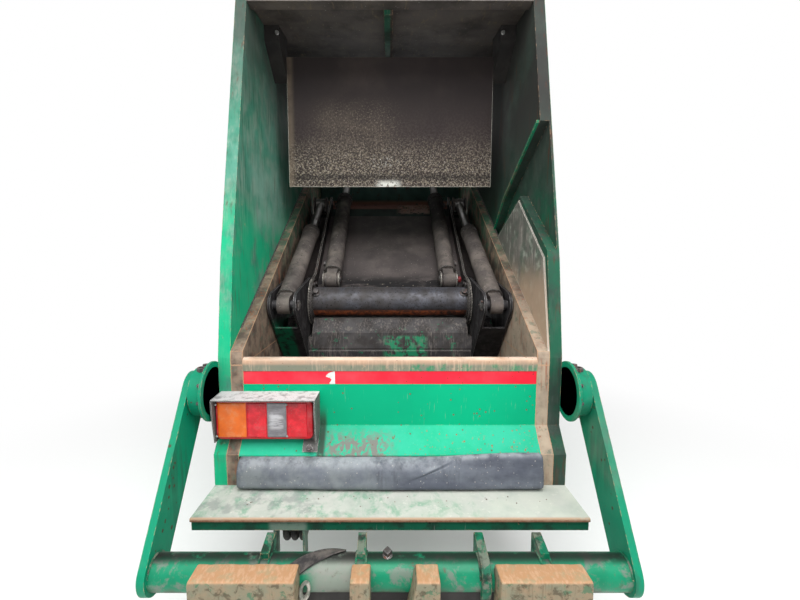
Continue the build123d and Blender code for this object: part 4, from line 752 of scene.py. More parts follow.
HOOK_GREEN = Finish(
    "chipped_hook_paint", (6, 112, 80), (16, 96, 72), 0.06, 0.45, 0.01, 0.0003, specular=0.25,
).under(
    flakes((112, 116, 104), 0.46, 0.05, 0.03, 0.85),
    clouds(SOOT_AND_SHADE, 0.42, 0.04, 0.1, 0.8),
    BARE_EDGES,
)
RUBBER = Finish("dusty_rubber", (82, 86, 97), (68, 71, 82), 0.12, 0.78, 0.004, 0.0003, specular=0.2).under(
    clouds((128, 134, 142), 0.5, 0.12, 0.2, 0.6, stretch=(1.8, 1, 1)),
    clouds((134, 140, 140), 0.6, 0.1, 0.16, 0.6).fading(X, -0.2, 0.1),
    tops((168, 174, 178), 0.6, 0.06, 0.16, 0.6),
    specks(GRIT, 0.08, 0.006, 0.06, 0.45),
    flakes((54, 56, 62), 0.25, 0.02, 0.06, 0.35),
    streaks((58, 60, 68), 0.4, 0.02, 0.1, 0.4),
)
BLACK_RUBBER = Finish(
    "black_hose_rubber", (40, 39, 40), (54, 52, 52), 0.06, 0.66, 0.003, 0.0002, specular=0.2,
).under(
    clouds((112, 108, 102), 0.36, 0.04, 0.14, 0.4),
    tops(ASH, 0.5, 0.03, 0.14, 0.4),
)
LAMP_SHEET = Finish(
    "dusty_lamp_sheet", (112, 110, 108), (92, 90, 90), 0.08, 0.6, 0.003, 0.0002, metallic=0.1,
).under(
    tops((206, 206, 206), 1.0, 0.06, 0.25, 0.97),
    specks(CHARCOAL, 0.3, 0.005, 0.06, 0.6),
    clouds((74, 72, 70), 0.36, 0.03, 0.1, 0.6),
    even((78, 75, 72), strength=0.8).fading(Z, -2.168, -2.158),
    edges(CHALK, 0.6, 0.002, 0.06, 0.8, roughness=0.4),
)
LAMP_BLACK = Finish("lamp_moulding", (36, 35, 36), (48, 46, 46), 0.04, 0.5, 0.002, 0.0001).under(
    clouds(ASH, 0.4, 0.03, 0.14, 0.45),
)
RED_LENS = Finish(
    "ribbed_red_lens", (206, 16, 36), (176, 8, 26), 0.05, 0.16, 0.002, 0.00004, coat=0.5, specular=0.4,
).under(
    clouds((120, 12, 26), 0.6, 0.05, 0.2, 0.7, roughness=0.2).fading(Z, -2.01, -2.07),
    clouds((236, 40, 56), 0.4, 0.03, 0.14, 0.5, roughness=0.2),
    clouds((190, 120, 120), 0.25, 0.05, 0.12, 0.2),
    specks((120, 70, 60), 0.2, 0.005, 0.06, 0.5),
)
CLEAR_LENS = Finish(
    "ribbed_clear_lens", (118, 116, 120), (138, 137, 142), 0.03, 0.14, 0.002, 0.00004, metallic=0.3, coat=0.5,
).under(
    # Darker top and bottom bands, and between them a painted highlight of the bulb and reflector.
    clouds((96, 94, 98), 0.5, 0.014, 0.12, 0.6, stretch=(5, 5, 0.8)).fading(Z, -2.03, -2.06),
    clouds((84, 82, 86), 0.5, 0.014, 0.14, 0.6, stretch=(5, 5, 0.8)).fading(Z, -2.12, -2.1),
    clouds((206, 206, 210), 0.5, 0.016, 0.14, 0.75, stretch=(4, 4, 0.8))
    .inside(Z, -2.11, -2.05, 0.012).inside(X, -0.47, -0.42, 0.01),
    clouds(ASH, 0.3, 0.04, 0.14, 0.3),
)
AMBER_LENS = Finish(
    "ribbed_amber_lens", (226, 108, 16), (206, 90, 10), 0.05, 0.18, 0.002, 0.00004, coat=0.5,
).under(
    clouds((200, 150, 110), 0.35, 0.04, 0.14, 0.35),
)
RED_TAPE = Finish(
    "red_marking_tape", (236, 42, 62), (228, 34, 54), 0.3, 0.6, 0.01, 0.00005, specular=0.1,
).under(
    clouds((244, 92, 100), 0.35, 0.2, 0.2, 0.5),
    specks((120, 60, 50), 0.05, 0.012, 0.06, 0.8),
    streaks((190, 40, 50), 0.2, 0.01, 0.1, 0.4),
)
WHITE_TAPE = Finish("white_tape_backing", (226, 226, 224), (214, 212, 208), 0.02, 0.7, 0.004, 0.0001).under(
    clouds(ASH, 0.3, 0.01, 0.1, 0.4),
)
BOLT_STEEL = Finish(
    "dirty_bolt_steel", (92, 88, 86), (74, 70, 70), 0.02, 0.5, 0.003, 0.0001, metallic=0.4,
).under(
    clouds(RUST, 0.3, 0.02, 0.1, 0.6),
    clouds(SOOT_AND_SHADE, 0.45, 0.03, 0.12, 0.7),
    edges(STEEL, 0.7, 0.002, roughness=0.3, metallic=0.8),
)
BRIGHT_BOLT = Finish(
    "plated_bolt_steel", (190, 190, 188), (160, 160, 158), 0.02, 0.35, 0.003, 0.0001, metallic=0.6,
).under(
    clouds(CHARCOAL, 0.3, 0.02, 0.12, 0.6),
)
WELD_STEEL = Finish(
    "brushed_weld_bead", (176, 170, 156), (150, 138, 120), 0.03, 0.5, 0.003, 0.0002, metallic=0.3,
).under(
    clouds(DARK_RUST, 0.3, 0.02, 0.1, 0.6),
    clouds((60, 90, 74), 0.3, 0.03, 0.1, 0.6),
)
DARK_WELD = Finish(
    "painted_weld_bead", (66, 62, 60), (54, 50, 50), 0.03, 0.55, 0.003, 0.0002, metallic=0.2,
).under(
    edges((170, 164, 156), 0.75, 0.003, roughness=0.4, metallic=0.4),
)
DIRT = Finish("dry_dirt", (150, 142, 130), (104, 94, 84), 0.03, 0.9, 0.003, 0.0004, specular=0.1).under(
    clouds((160, 152, 140), 0.4, 0.02, 0.1, 0.6),
)
RED_CAP = Finish("red_grease_cap", (150, 40, 44), (120, 34, 36), 0.02, 0.4, 0.003, 0.0001).under(
    clouds(CHARCOAL, 0.4, 0.01, 0.1, 0.6),
)
PEELED = Finish(
    "peeled_paint_scale", (176, 142, 130), (150, 112, 98), 0.02, 0.7, 0.003, 0.0002, specular=0.2,
).under(
    clouds((34, 92, 72), 0.36, 0.02, 0.08, 0.8),
    clouds(DARK_RUST, 0.3, 0.014, 0.08, 0.6),
)
RED_FRAME = Finish(
    "moulded_red_frame", (196, 20, 36), (168, 14, 28), 0.04, 0.35, 0.002, 0.0001, specular=0.3,
).under(
    clouds((180, 110, 110), 0.4, 0.03, 0.14, 0.35),
    specks((120, 70, 60), 0.2, 0.005, 0.06, 0.5),
)
DUSTY_FITTING = Finish(
    "dusty_pipe_fitting", (176, 172, 162), (140, 140, 130), 0.02, 0.6, 0.003, 0.0001, metallic=0.1,
).under(
    clouds((70, 84, 76), 0.4, 0.02, 0.1, 0.6),
    specks(DARK_RUST, 0.1, 0.005, 0.06, 0.6),
)


class Body(Enum):
    """Body of the frame that a piece rides on."""

    ROOT = "root"
    CARRIAGE = "carriage"
    BLADE = "blade"
    BARRELS = "blade_barrels"
    LIFT = "lift"


class Slot(Enum):
    """Material slot of the record that a piece belongs to."""

    GREEN = "green_paint"
    GRIMY = "grimy_steel"
    WORN = "worn_steel"
    ROD = "rod_steel"
    RUBBER = "rubber"
    RED = "lamp_red"
    CLEAR = "lamp_clear"
    AMBER = "lamp_amber"
    LAMP = "lamp_body"


@dataclass
class Shell:
    """Closed surface of a piece.

    Attributes:
        points: Its points in metres, one in each row.
        faces: Blocks of faces; each row of a block holds one face's point numbers.
    """

    points: np.ndarray
    faces: list[np.ndarray]

    def aimed(self, at: Vector3, along: Vector3, across: Vector3 | None = None) -> "Shell":
        """Turns the shell's own Z to a direction and moves its zero to a place.

        Each point becomes the place plus its three coordinates times the three turned axes.

        Args:
            at: Where its zero goes.
            along: The direction that its Z takes.
            across: Direction that its X keeps to as far as it can. Without one it is X, or Y where its Z is
                along X.

        Returns:
            The turned shell.
        """
        upward = np.array(along, dtype=float) / np.linalg.norm(along)
        if across is None:
            across = (0, 1, 0) if abs(upward[0]) > 0.9 else (1, 0, 0)
        side = np.array(across, dtype=float) - np.dot(across, upward) * upward
        side /= np.linalg.norm(side)
        axes = np.array([side, np.cross(upward, side), upward])
        return Shell(self.points @ axes + np.array(at), self.faces)

    def mirrored(self) -> "Shell":
        """Copies the shell to the other side of the centre plane, with its faces turned to match."""
        return Shell(self.points * np.array([-1.0, 1.0, 1.0]), [block[:, ::-1] for block in self.faces])

    def both_sides(self) -> "Shell":
        """Joins the shell with its mirror image."""
        return joined([self, self.mirrored()])


def joined(shells: Sequence[Shell]) -> Shell:
    """Puts shells into one; the point numbers of each are raised by the points before it.

    Args:
        shells: The shells.

    Returns:
        One shell of them all.
    """
    starts = np.cumsum([0] + [len(shell.points) for shell in shells])
    faces = [block + start for shell, start in zip(shells, starts) for block in shell.faces]
    return Shell(np.concatenate([shell.points for shell in shells]), faces)


def grid_faces(rows: int, across: int, round_across: bool, round_rows: bool = False) -> np.ndarray:
    """Numbers the faces of a grid. Each joins a point, its neighbour across, and those two on the next row.

    Args:
        rows: How many rows the grid has.
        across: How many points a row has.
        round_across: Whether each row closes on itself.
        round_rows: Whether the last row joins the first.

    Returns:
        Four point numbers in each row.
    """
    last_row = rows if round_rows else rows - 1
    last_column = across if round_across else across - 1
    row, column = np.meshgrid(np.arange(last_row), np.arange(last_column), indexing="ij")
    beside = (column + 1) % across
    below = (row + 1) % rows
    corners = [row * across + column, row * across + beside, below * across + beside, below * across + column]
    return np.stack(corners, axis=-1).reshape(-1, 4)


def skin(grid: np.ndarray, looped: bool = False) -> Shell:
    """Wraps a grid whose rows are closed rings, with a flat face over the first and last ring.

    Args:
        grid: Points by row, place in the row and coordinate.
        looped: Whether the last ring joins the first, which leaves no ends.

    Returns:
        The closed shell.
    """
    rows, across = grid.shape[:2]
    faces = [grid_faces(rows, across, True, looped)]
    if not looped:
        numbers = np.arange(across)
        faces += [numbers[None, ::-1], numbers[None, :] + (rows - 1) * across]
    return Shell(grid.reshape(-1, 3), faces)


def slab(front: np.ndarray) -> Shell:
    """Closes a sheet of points with one face over its border, which lies in a plane behind it.

    Args:
        front: Points by row, place in the row and coordinate.

    Returns:
        The closed shell.
    """
    rows, across = front.shape[:2]
    numbers = np.arange(rows * across).reshape(rows, across)
    border = np.concatenate([numbers[0], numbers[1:, -1], numbers[-1, -2::-1], numbers[-2:0:-1, 0]])
    return Shell(front.reshape(-1, 3), [grid_faces(rows, across, False), border[None, ::-1]])


def turned(
    profile: Sequence[tuple[float, float]], segments: int = 32, flats: float = 0.0, looped: bool = False,
) -> Shell:
    """Turns a profile about Z.

    A point is the radius times the cosine and the sine of its angle, at the profile's height. Flats cut the
    radius down to a hexagon's, which is a flat's distance over the cosine of the angle from its middle.

    Args:
        profile: Radius and height of each point, from the bottom up on the outside.
        segments: Points in one turn.
        flats: Distance of the hexagon's flats from the axis, or 0 for a round shape.
        looped: Whether the last point of the profile joins the first, as on a ring.

    Returns:
        The closed shell.
    """
    angle = np.linspace(0, 2 * math.pi, segments, endpoint=False)
    radius, height = np.array(profile, dtype=float).T
    reach = radius[:, None] * np.ones(segments)
    if flats:
        from_flat = (angle + math.pi / 6) % (math.pi / 3) - math.pi / 6
        reach = np.minimum(reach, flats / np.cos(from_flat))
    level = height[:, None] * np.ones(segments)
    return skin(np.stack([reach * np.cos(angle), reach * np.sin(angle), level], axis=-1), looped)


CORNER = 1.16  # radius of a hexagon's corners for flats one unit from the axis, and a little over


def hex_bolt(across: float) -> Shell:
    """Hex head on a washer, with its zero on the face that it clamps.

    Args:
        across: Width of the head across its flats.

    Returns:
        The head with its chamfered top, and the washer under it.
    """
    flat = across / 2
    thick = across * 0.14
    rim = [(flat * 1.38, thick * 0.3), (flat * 1.38, thick * 0.8)]
    washer = turned([(flat * 1.3, 0), *rim, (flat * 1.3, thick)], 24)
    corner = flat * CORNER
    head = [(flat * 1.05, thick * 0.9), (corner, thick * 1.3), (corner, across * 0.62)]
    head += [(flat * 0.94, across * 0.74), (flat * 0.5, across * 0.76)]
    return joined([washer, turned(head, 36, flat)])


def hex_ring(bore: float, flat: float, height: tuple[float, float]) -> Shell:
    """Hexagonal ring about Z with a round bore and chamfered rims.

    Args:
        bore: Radius of the bore.
        flat: Distance of the flats from the axis.
        height: Its lower and upper end.

    Returns:
        The closed ring, whose profile runs up the outside and down the bore.
    """
    low, high = height
    chamfer = (flat - bore) * 0.35
    corner = flat * CORNER
    profile = [(bore, low), (corner, low), (corner, high - chamfer), (corner - chamfer, high), (bore, high)]
    return turned(profile, 36, flat, True)


def bolt_places(middle: Vector3, radius: float, angles: Sequence[float]) -> list[np.ndarray]:
    """Places on a circle about X: the middle plus the radius times the cosine along Y and the sine along Z.

    Args:
        middle: Middle of the circle.
        radius: Its radius.
        angles: Angle of each place from Y, in degrees.

    Returns:
        The places.
    """
    turns = np.radians(list(angles))
    return [np.array(middle) + radius * np.array([0.0, math.cos(turn), math.sin(turn)]) for turn in turns]


def spaced(corners: Sequence[Vector3], step: float) -> np.ndarray:
    """Lays points along straight runs, evenly by their length.

    Args:
        corners: Ends of the runs.
        step: Distance between two points.

    Returns:
        The points, one in each row.
    """
    ends = np.array(corners, dtype=float)
    reached = np.concatenate([[0.0], np.cumsum(np.linalg.norm(np.diff(ends, axis=0), axis=1))])
    wanted = np.linspace(0, reached[-1], max(2, int(reached[-1] / step) + 1))
    return np.stack([np.interp(wanted, reached, ends[:, axis]) for axis in range(3)], axis=-1)


def circle(radius: float, count: int = 12) -> np.ndarray:
    """Outline of a circle: its radius times the cosine and the sine of evenly spaced angles."""
    angle = np.linspace(0, 2 * math.pi, count, endpoint=False)
    return radius * np.stack([np.cos(angle), np.sin(angle)], axis=-1)


def arc(middle: Vector3, first: Vector3, second: Vector3, start: float, end: float, count: int) -> np.ndarray:
    """Points of an arc: the middle plus one direction times the cosine and the other times the sine.

    Args:
        middle: Middle of the arc.
        first: Radius vector at 0 degrees.
        second: Radius vector at 90 degrees.
        start: First angle in degrees.
        end: Last angle in degrees.
        count: How many points.

    Returns:
        The points, one in each row.
    """
    angle = np.radians(np.linspace(start, end, count))[:, None]
    return np.array(middle) + np.cos(angle) * np.array(first) + np.sin(angle) * np.array(second)


def carried(
    path: np.ndarray, outline: np.ndarray, upright: Vector3, scale: np.ndarray | float = 1.0,
    looped: bool = False,
) -> Shell:
    """Carries an outline along a path.

    At each point of the path, the outline's first coordinate runs across, which is the path's direction
    crossed with the upright one, and its second runs square to both.

    Args:
        path: Points of the path, one in each row.
        outline: Outline, one point of two coordinates in each row.
        upright: Direction that the outline's second coordinate keeps to.
        scale: Size of the outline, at each point of the path or all along it.
        looped: Whether the path closes on itself.

    Returns:
        The closed shell.
    """
    if looped:
        ahead = np.roll(path, -1, axis=0) - np.roll(path, 1, axis=0)
    else:
        ahead = np.gradient(path, axis=0)
    ahead /= np.linalg.norm(ahead, axis=1, keepdims=True)
    across = np.cross(ahead, np.array(upright))
    across /= np.linalg.norm(across, axis=1, keepdims=True)
    above = np.cross(across, ahead)
    size = (scale * np.ones(len(path)))[:, None, None]
    offset = outline[None, :, :1] * across[:, None] + outline[None, :, 1:] * above[:, None]
    return skin(path[:, None] + size * offset, looped)


def weld_bead(path: np.ndarray, radius: float, upright: Vector3, looped: bool = False) -> Shell:
    """Weld along a path: a thin round rod whose radius swells and shrinks from ripple to ripple.

    The radius grows by a share of the sine of the way along, with four points to a ripple.

    Args:
        path: Points of the seam, one in each row, a quarter of a ripple apart.
        radius: Mean radius of the bead.
        upright: Direction that is never along the seam.
        looped: Whether the seam closes on itself.

    Returns:
        The bead.
    """
    step = np.arange(len(path))
    scale = 1 + 0.14 * np.sin(step * math.pi / 2) + 0.12 * np.sin(step * 0.37)
    return carried(path, circle(radius, 8), upright, scale, looped)


def stones(places: np.ndarray, sizes: np.ndarray, seed: int) -> Shell:
    """Crumbs of dirt: balls of five rings of seven points, each point's radius changed at random.

    Args:
        places: Middle of each crumb, one in each row.
        sizes: Radius of each crumb.
        seed: Seed of the random radii.

    Returns:
        All crumbs in one shell.
    """
    rings, across = 5, 7
    polar = np.linspace(0.15, math.pi - 0.15, rings)[:, None]
    angle = np.linspace(0, 2 * math.pi, across, endpoint=False)[None, :]
    wide = np.sin(polar)
    tall = np.cos(polar) * np.ones_like(angle)
    ball = np.stack([wide * np.cos(angle), wide * np.sin(angle), tall], axis=-1)
    rough = np.random.default_rng(seed).uniform(0.6, 1.1, (len(places), rings, across, 1))
    crumbs = sizes[:, None, None, None] * ball[None] * rough * np.array([1.0, 1.0, 0.7])
    return joined([skin(crumb) for crumb in places[:, None, None] + crumbs])


HINGE = (-1.38, -1.70)  # Y and Z of the blade's hinge
SLIDE = np.array([0.0, math.cos(math.radians(36)), math.sin(math.radians(36))])
SQUARE = np.array([0.0, -SLIDE[2], SLIDE[1]])


def on_slide(x: float | np.ndarray, up: float | np.ndarray, over: float | np.ndarray) -> np.ndarray:
    """Points by the slide: X, a distance up the slide and one square to it, both from the blade's hinge.

    Args:
        x: Place along X.
        up: Distance up the slide.
        over: Height over the slide's line through the hinge.

    Returns:
        The points, one in each row.
    """
    x, up, over = (np.asarray(value, dtype=float)[..., None] for value in (x, up, over))
    return x * np.array([1.0, 0.0, 0.0]) + np.array([0.0, *HINGE]) + up * SLIDE + over * SQUARE


@dataclass
class Assembly:
    """A sub-assembly, with the call that turns a shell into one of its pieces."""

    def piece(
        self, name: str, shell: Shell, finish: Finish, slot: Slot, body: Body = Body.ROOT,
        smooth: float = 40.0, instead_of: Sequence[str] = (),
    ) -> None:
        """Makes a piece from a shell, dresses it and lets it ride.

        It lies at the origin, with its place in its mesh.

        Args:
            name: The piece's name.
            shell: Its surface.
            finish: Its finish.
            slot: Its material slot in the record; not used.
            body: The body that carries it.
            smooth: Edges turn smooth below this angle in degrees.
            instead_of: Nodes of the frame that it stands for.
        """
        mesh = bpy.data.meshes.new(name)
        faces = [face for block in shell.faces for face in block.tolist()]
        mesh.from_pydata(shell.points.tolist(), [], faces)
        work = bmesh.new()
        work.from_mesh(mesh)
        bmesh.ops.remove_doubles(work, verts=work.verts, dist=1e-6)
        bmesh.ops.recalc_face_normals(work, faces=work.faces)
        work.to_mesh(mesh)
        work.free()
        mesh.polygons.foreach_set("use_smooth", [True] * len(mesh.polygons))
        mesh.set_sharp_from_angle(angle=math.radians(smooth))
        mesh.materials.append(finish.material())
        made = bpy.data.objects.new(name, mesh)
        bpy.context.scene.collection.objects.link(made)
        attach(made, body.value)
        if instead_of:
            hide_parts(*instead_of)
        LOG.info("%s on %s: %d faces", name, body.value, len(mesh.polygons))


@dataclass
class Walls(Assembly):
    """Bolts and welds on the side walls and the roof."""

    seam: float = 0.6475
    bead: float = 0.0045
    bead_step: float = 0.0032
    wear_bead: float = 0.0038
    wear_step: float = 0.0025
    foot_bead: float = 0.004
    foot_step: float = 0.0028
    hanger_bolt: float = 0.016
    hanger: Vector3 = (0.583, -1.5, -0.292)
    wear_apex: Vector3 = (0.649, -1.657, -1.163)
    wear_front: Vector3 = (0.649, -1.274, -1.3225)
    rail_rear: tuple[float, float] = (-1.995, -1.749)
    rail_front: tuple[float, float] = (-0.062, -0.619)
    pad_place: Vector3 = (0.7, -0.42, -0.9)
    pad_radius: float = 0.07
    lug_sides: tuple[float, ...] = (-0.47, -0.43, 0.43, 0.47)
    lug_foot: float = -0.0485
    lug_ends: tuple[float, float] = (-0.025, -0.128)

    def build(self) -> None:
        """Builds all of them."""
        bolt = hex_bolt(self.hanger_bolt)
        bolts = [bolt.aimed((side * self.hanger[0], *self.hanger[1:]), (0, -1, 0)) for side in (-1, 1)]
        self.piece("hanger_bolts", joined(bolts), BRIGHT_BOLT, Slot.GRIMY)
        edge = spaced([self.wear_apex, self.wear_front], self.wear_step)
        wear = weld_bead(edge, self.wear_bead, (1, 0, 0))
        self.piece("wear_plate_weld", wear, WELD_STEEL, Slot.WORN)
        ends = (self.rail_rear, self.rail_front)
        runs = [spaced([(x, *end) for end in ends], self.bead_step) for x in (-self.seam, self.seam)]
        rails = joined([weld_bead(run, self.bead, (1, 0, 0)) for run in runs])
        self.piece("rail_welds", rails, DARK_WELD, Slot.WORN)
        self._outside()

    def _outside(self) -> None:
        """Welds round the pads of the raising pins and along the hinge lugs' feet, and the pins' washers."""
        x, y, z = self.pad_place
        reach = self.pad_radius + 0.002
        ring = arc((x + 0.0015, y, z), (0, reach, 0), (0, 0, reach), 0, 357, 120)
        seam = weld_bead(ring, self.bead, (1, 0, 0), True)
        self.piece("pin_pad_welds", seam.both_sides(), OUTER_GREEN, Slot.GREEN)
        rim = [(0.036, 0), (0.037, 0.001), (0.037, 0.005), (0.036, 0.006)]
        washer = turned([(0.0255, 0), *rim, (0.0255, 0.006)], 40)
        pin_end = turned([(0.0, 0.0), (0.021, 0.0), (0.021, 0.003), (0.018, 0.0055), (0.0, 0.0065)], 32)
        parts = [part.aimed((x + off, y, z), (1, 0, 0)) for part, off in ((washer, 0.0545), (pin_end, 0.074))]
        self.piece("raise_pin_washers", joined(parts).both_sides(), ROD_STEEL, Slot.ROD)
        feet = [[(side, end, self.lug_foot) for end in self.lug_ends] for side in self.lug_sides]
        runs = [spaced(foot, self.foot_step) for foot in feet]
        beads = joined([weld_bead(run, self.foot_bead, (0, 0, 1)) for run in runs])
        self.piece("hinge_lug_welds", beads, OUTER_GREEN, Slot.GREEN)


@dataclass
class Girder(Assembly):
    """Curled scales of paint on the carriage's far end, and the gussets in the passage's upper corners."""

    low: tuple[float, float] = (-0.482, -1.0475)
    spread: tuple[float, float] = (0.09, 0.3)
    behind: tuple[float, float] = (0.015, 0.085)
    half_width: tuple[float, float] = (0.008, 0.026)
    half_depth: tuple[float, float] = (0.006, 0.014)
    thick: float = 0.0007
    scales: int = 16
    seed: int = 17
    gusset: tuple[tuple[float, float], ...] = (
        (0.652, -1.026), (0.505, -1.026), (0.5, -1.034), (0.644, -1.178), (0.652, -1.172),
    )
    gusset_places: tuple[float, float] = (-0.034, -0.026)

    def build(self) -> None:
        """Builds the gussets and the scales."""
        self._gussets()
        self._scales()

    def _gussets(self) -> None:
        """Plates across the passage's upper corners, as deep along Y as a sheet is thick."""
        x, z = np.array(self.gusset).T
        rings = [np.column_stack([x, np.full_like(x, y), z]) for y in self.gusset_places]
        self.piece("passage_gussets", skin(np.stack(rings)).both_sides(), GIRDER_GREEN, Slot.GREEN)

    def _scales(self) -> None:
        """Scales of paint: each a small ragged sheet that curls off the deck like a shallow cup.

        The edge goes in and out by a sine, and the height grows with the square of both places on the sheet.
        """
        chance = np.random.default_rng(self.seed)
        u, v = np.meshgrid(np.linspace(-1, 1, 9), np.linspace(-1, 1, 7), indexing="ij")
        parts = []
        for _ in range(self.scales):
            x = chance.uniform(*self.spread)
            back = chance.uniform(*self.behind)
            wide, deep = chance.uniform(*self.half_width), chance.uniform(*self.half_depth)
            ragged = 1 + 0.18 * np.sin(5 * u + 7 * v + x * 90)
            lift = 0.0012 + 0.006 * (0.5 * v + 0.5) ** 2 + 0.002 * u**2
            place = (x, *(np.array(self.low) - back * SLIDE[1:]))
            top = np.stack([wide * u * ragged, deep * v * ragged, lift], axis=-1)
            under = top[:, ::-1] - np.array([0, 0, self.thick])
            sheet = skin(np.concatenate([top, under], axis=1))
            parts.append(sheet.aimed(place, SQUARE))
        self.piece("peeled_scales", joined(parts), PEELED, Slot.WORN, Body.CARRIAGE, 30.0)


@dataclass
class Sill(Assembly):
    """Marking tape on the sill, torn in one place, and the white backing that shows there."""

    face: float = -2.1258
    top: float = -1.9042
    bottom: float = -1.959
    half: float = 0.599
    thick: float = 0.0007
    blister: float = 0.0006
    tear_right: float = -0.2248
    tear_shares: tuple[float, ...] = (0, 0.14, 0.27, 0.43, 0.53, 0.63, 0.76, 0.88, 1)
    tear_left: tuple[float, ...] = (
        -0.2249, -0.2473, -0.2575, -0.2626, -0.2473, -0.2391, -0.2411, -0.2473, -0.2473,
    )

    def build(self) -> None:
        """Builds both lengths of tape and the backing."""
        share = np.linspace(0, 1, 33)
        torn = np.interp(share, self.tear_shares, self.tear_left) + 0.0006 * np.sin(share * 61)
        straight = np.ones_like(share)
        runs = [(-self.half * straight, torn, 160), (self.tear_right * straight, self.half * straight, 280)]
        tape = joined([self._strip(left, right, columns, self.thick) for left, right, columns in runs])
        self.piece("marking_tape", tape, RED_TAPE, Slot.RED)
        backing = self._strip(torn, self.tear_right * straight, 12, self.thick * 0.5)
        self.piece("torn_tape_backing", backing, WHITE_TAPE, Slot.WORN)

    def _strip(self, left: np.ndarray, right: np.ndarray, columns: int, thick: float) -> Shell:
        """Strip between two edges that stands off the sill by its thickness, with flat blisters.

        A point goes from the left edge to the right one by its share across. It stands off by the thickness,
        which falls to nothing at the border, plus blisters that are products of sines where these are high.

        Args:
            left: X of the left edge at each share of the height.
            right: X of the right edge.
            columns: Points across.
            thick: Thickness of the strip.

        Returns:
            The closed strip.
        """
        across = np.linspace(0, 1, columns)[None, :]
        down = np.linspace(0, 1, len(left))[:, None]
        x = left[:, None] + (right - left)[:, None] * across
        z = self.top + (self.bottom - self.top) * down * np.ones_like(across)
        inside = (across > 0) & (across < 1) & (down > 0) & (down < 1)
        blister = np.clip(np.sin(x * 37 + 1.3) * np.sin(x * 91 + z * 120) * np.sin(z * 95) - 0.45, 0, 1)
        y = self.face - np.where(inside, thick + self.blister * blister, 0.0)
        return slab(np.stack([x, y, z], axis=-1))


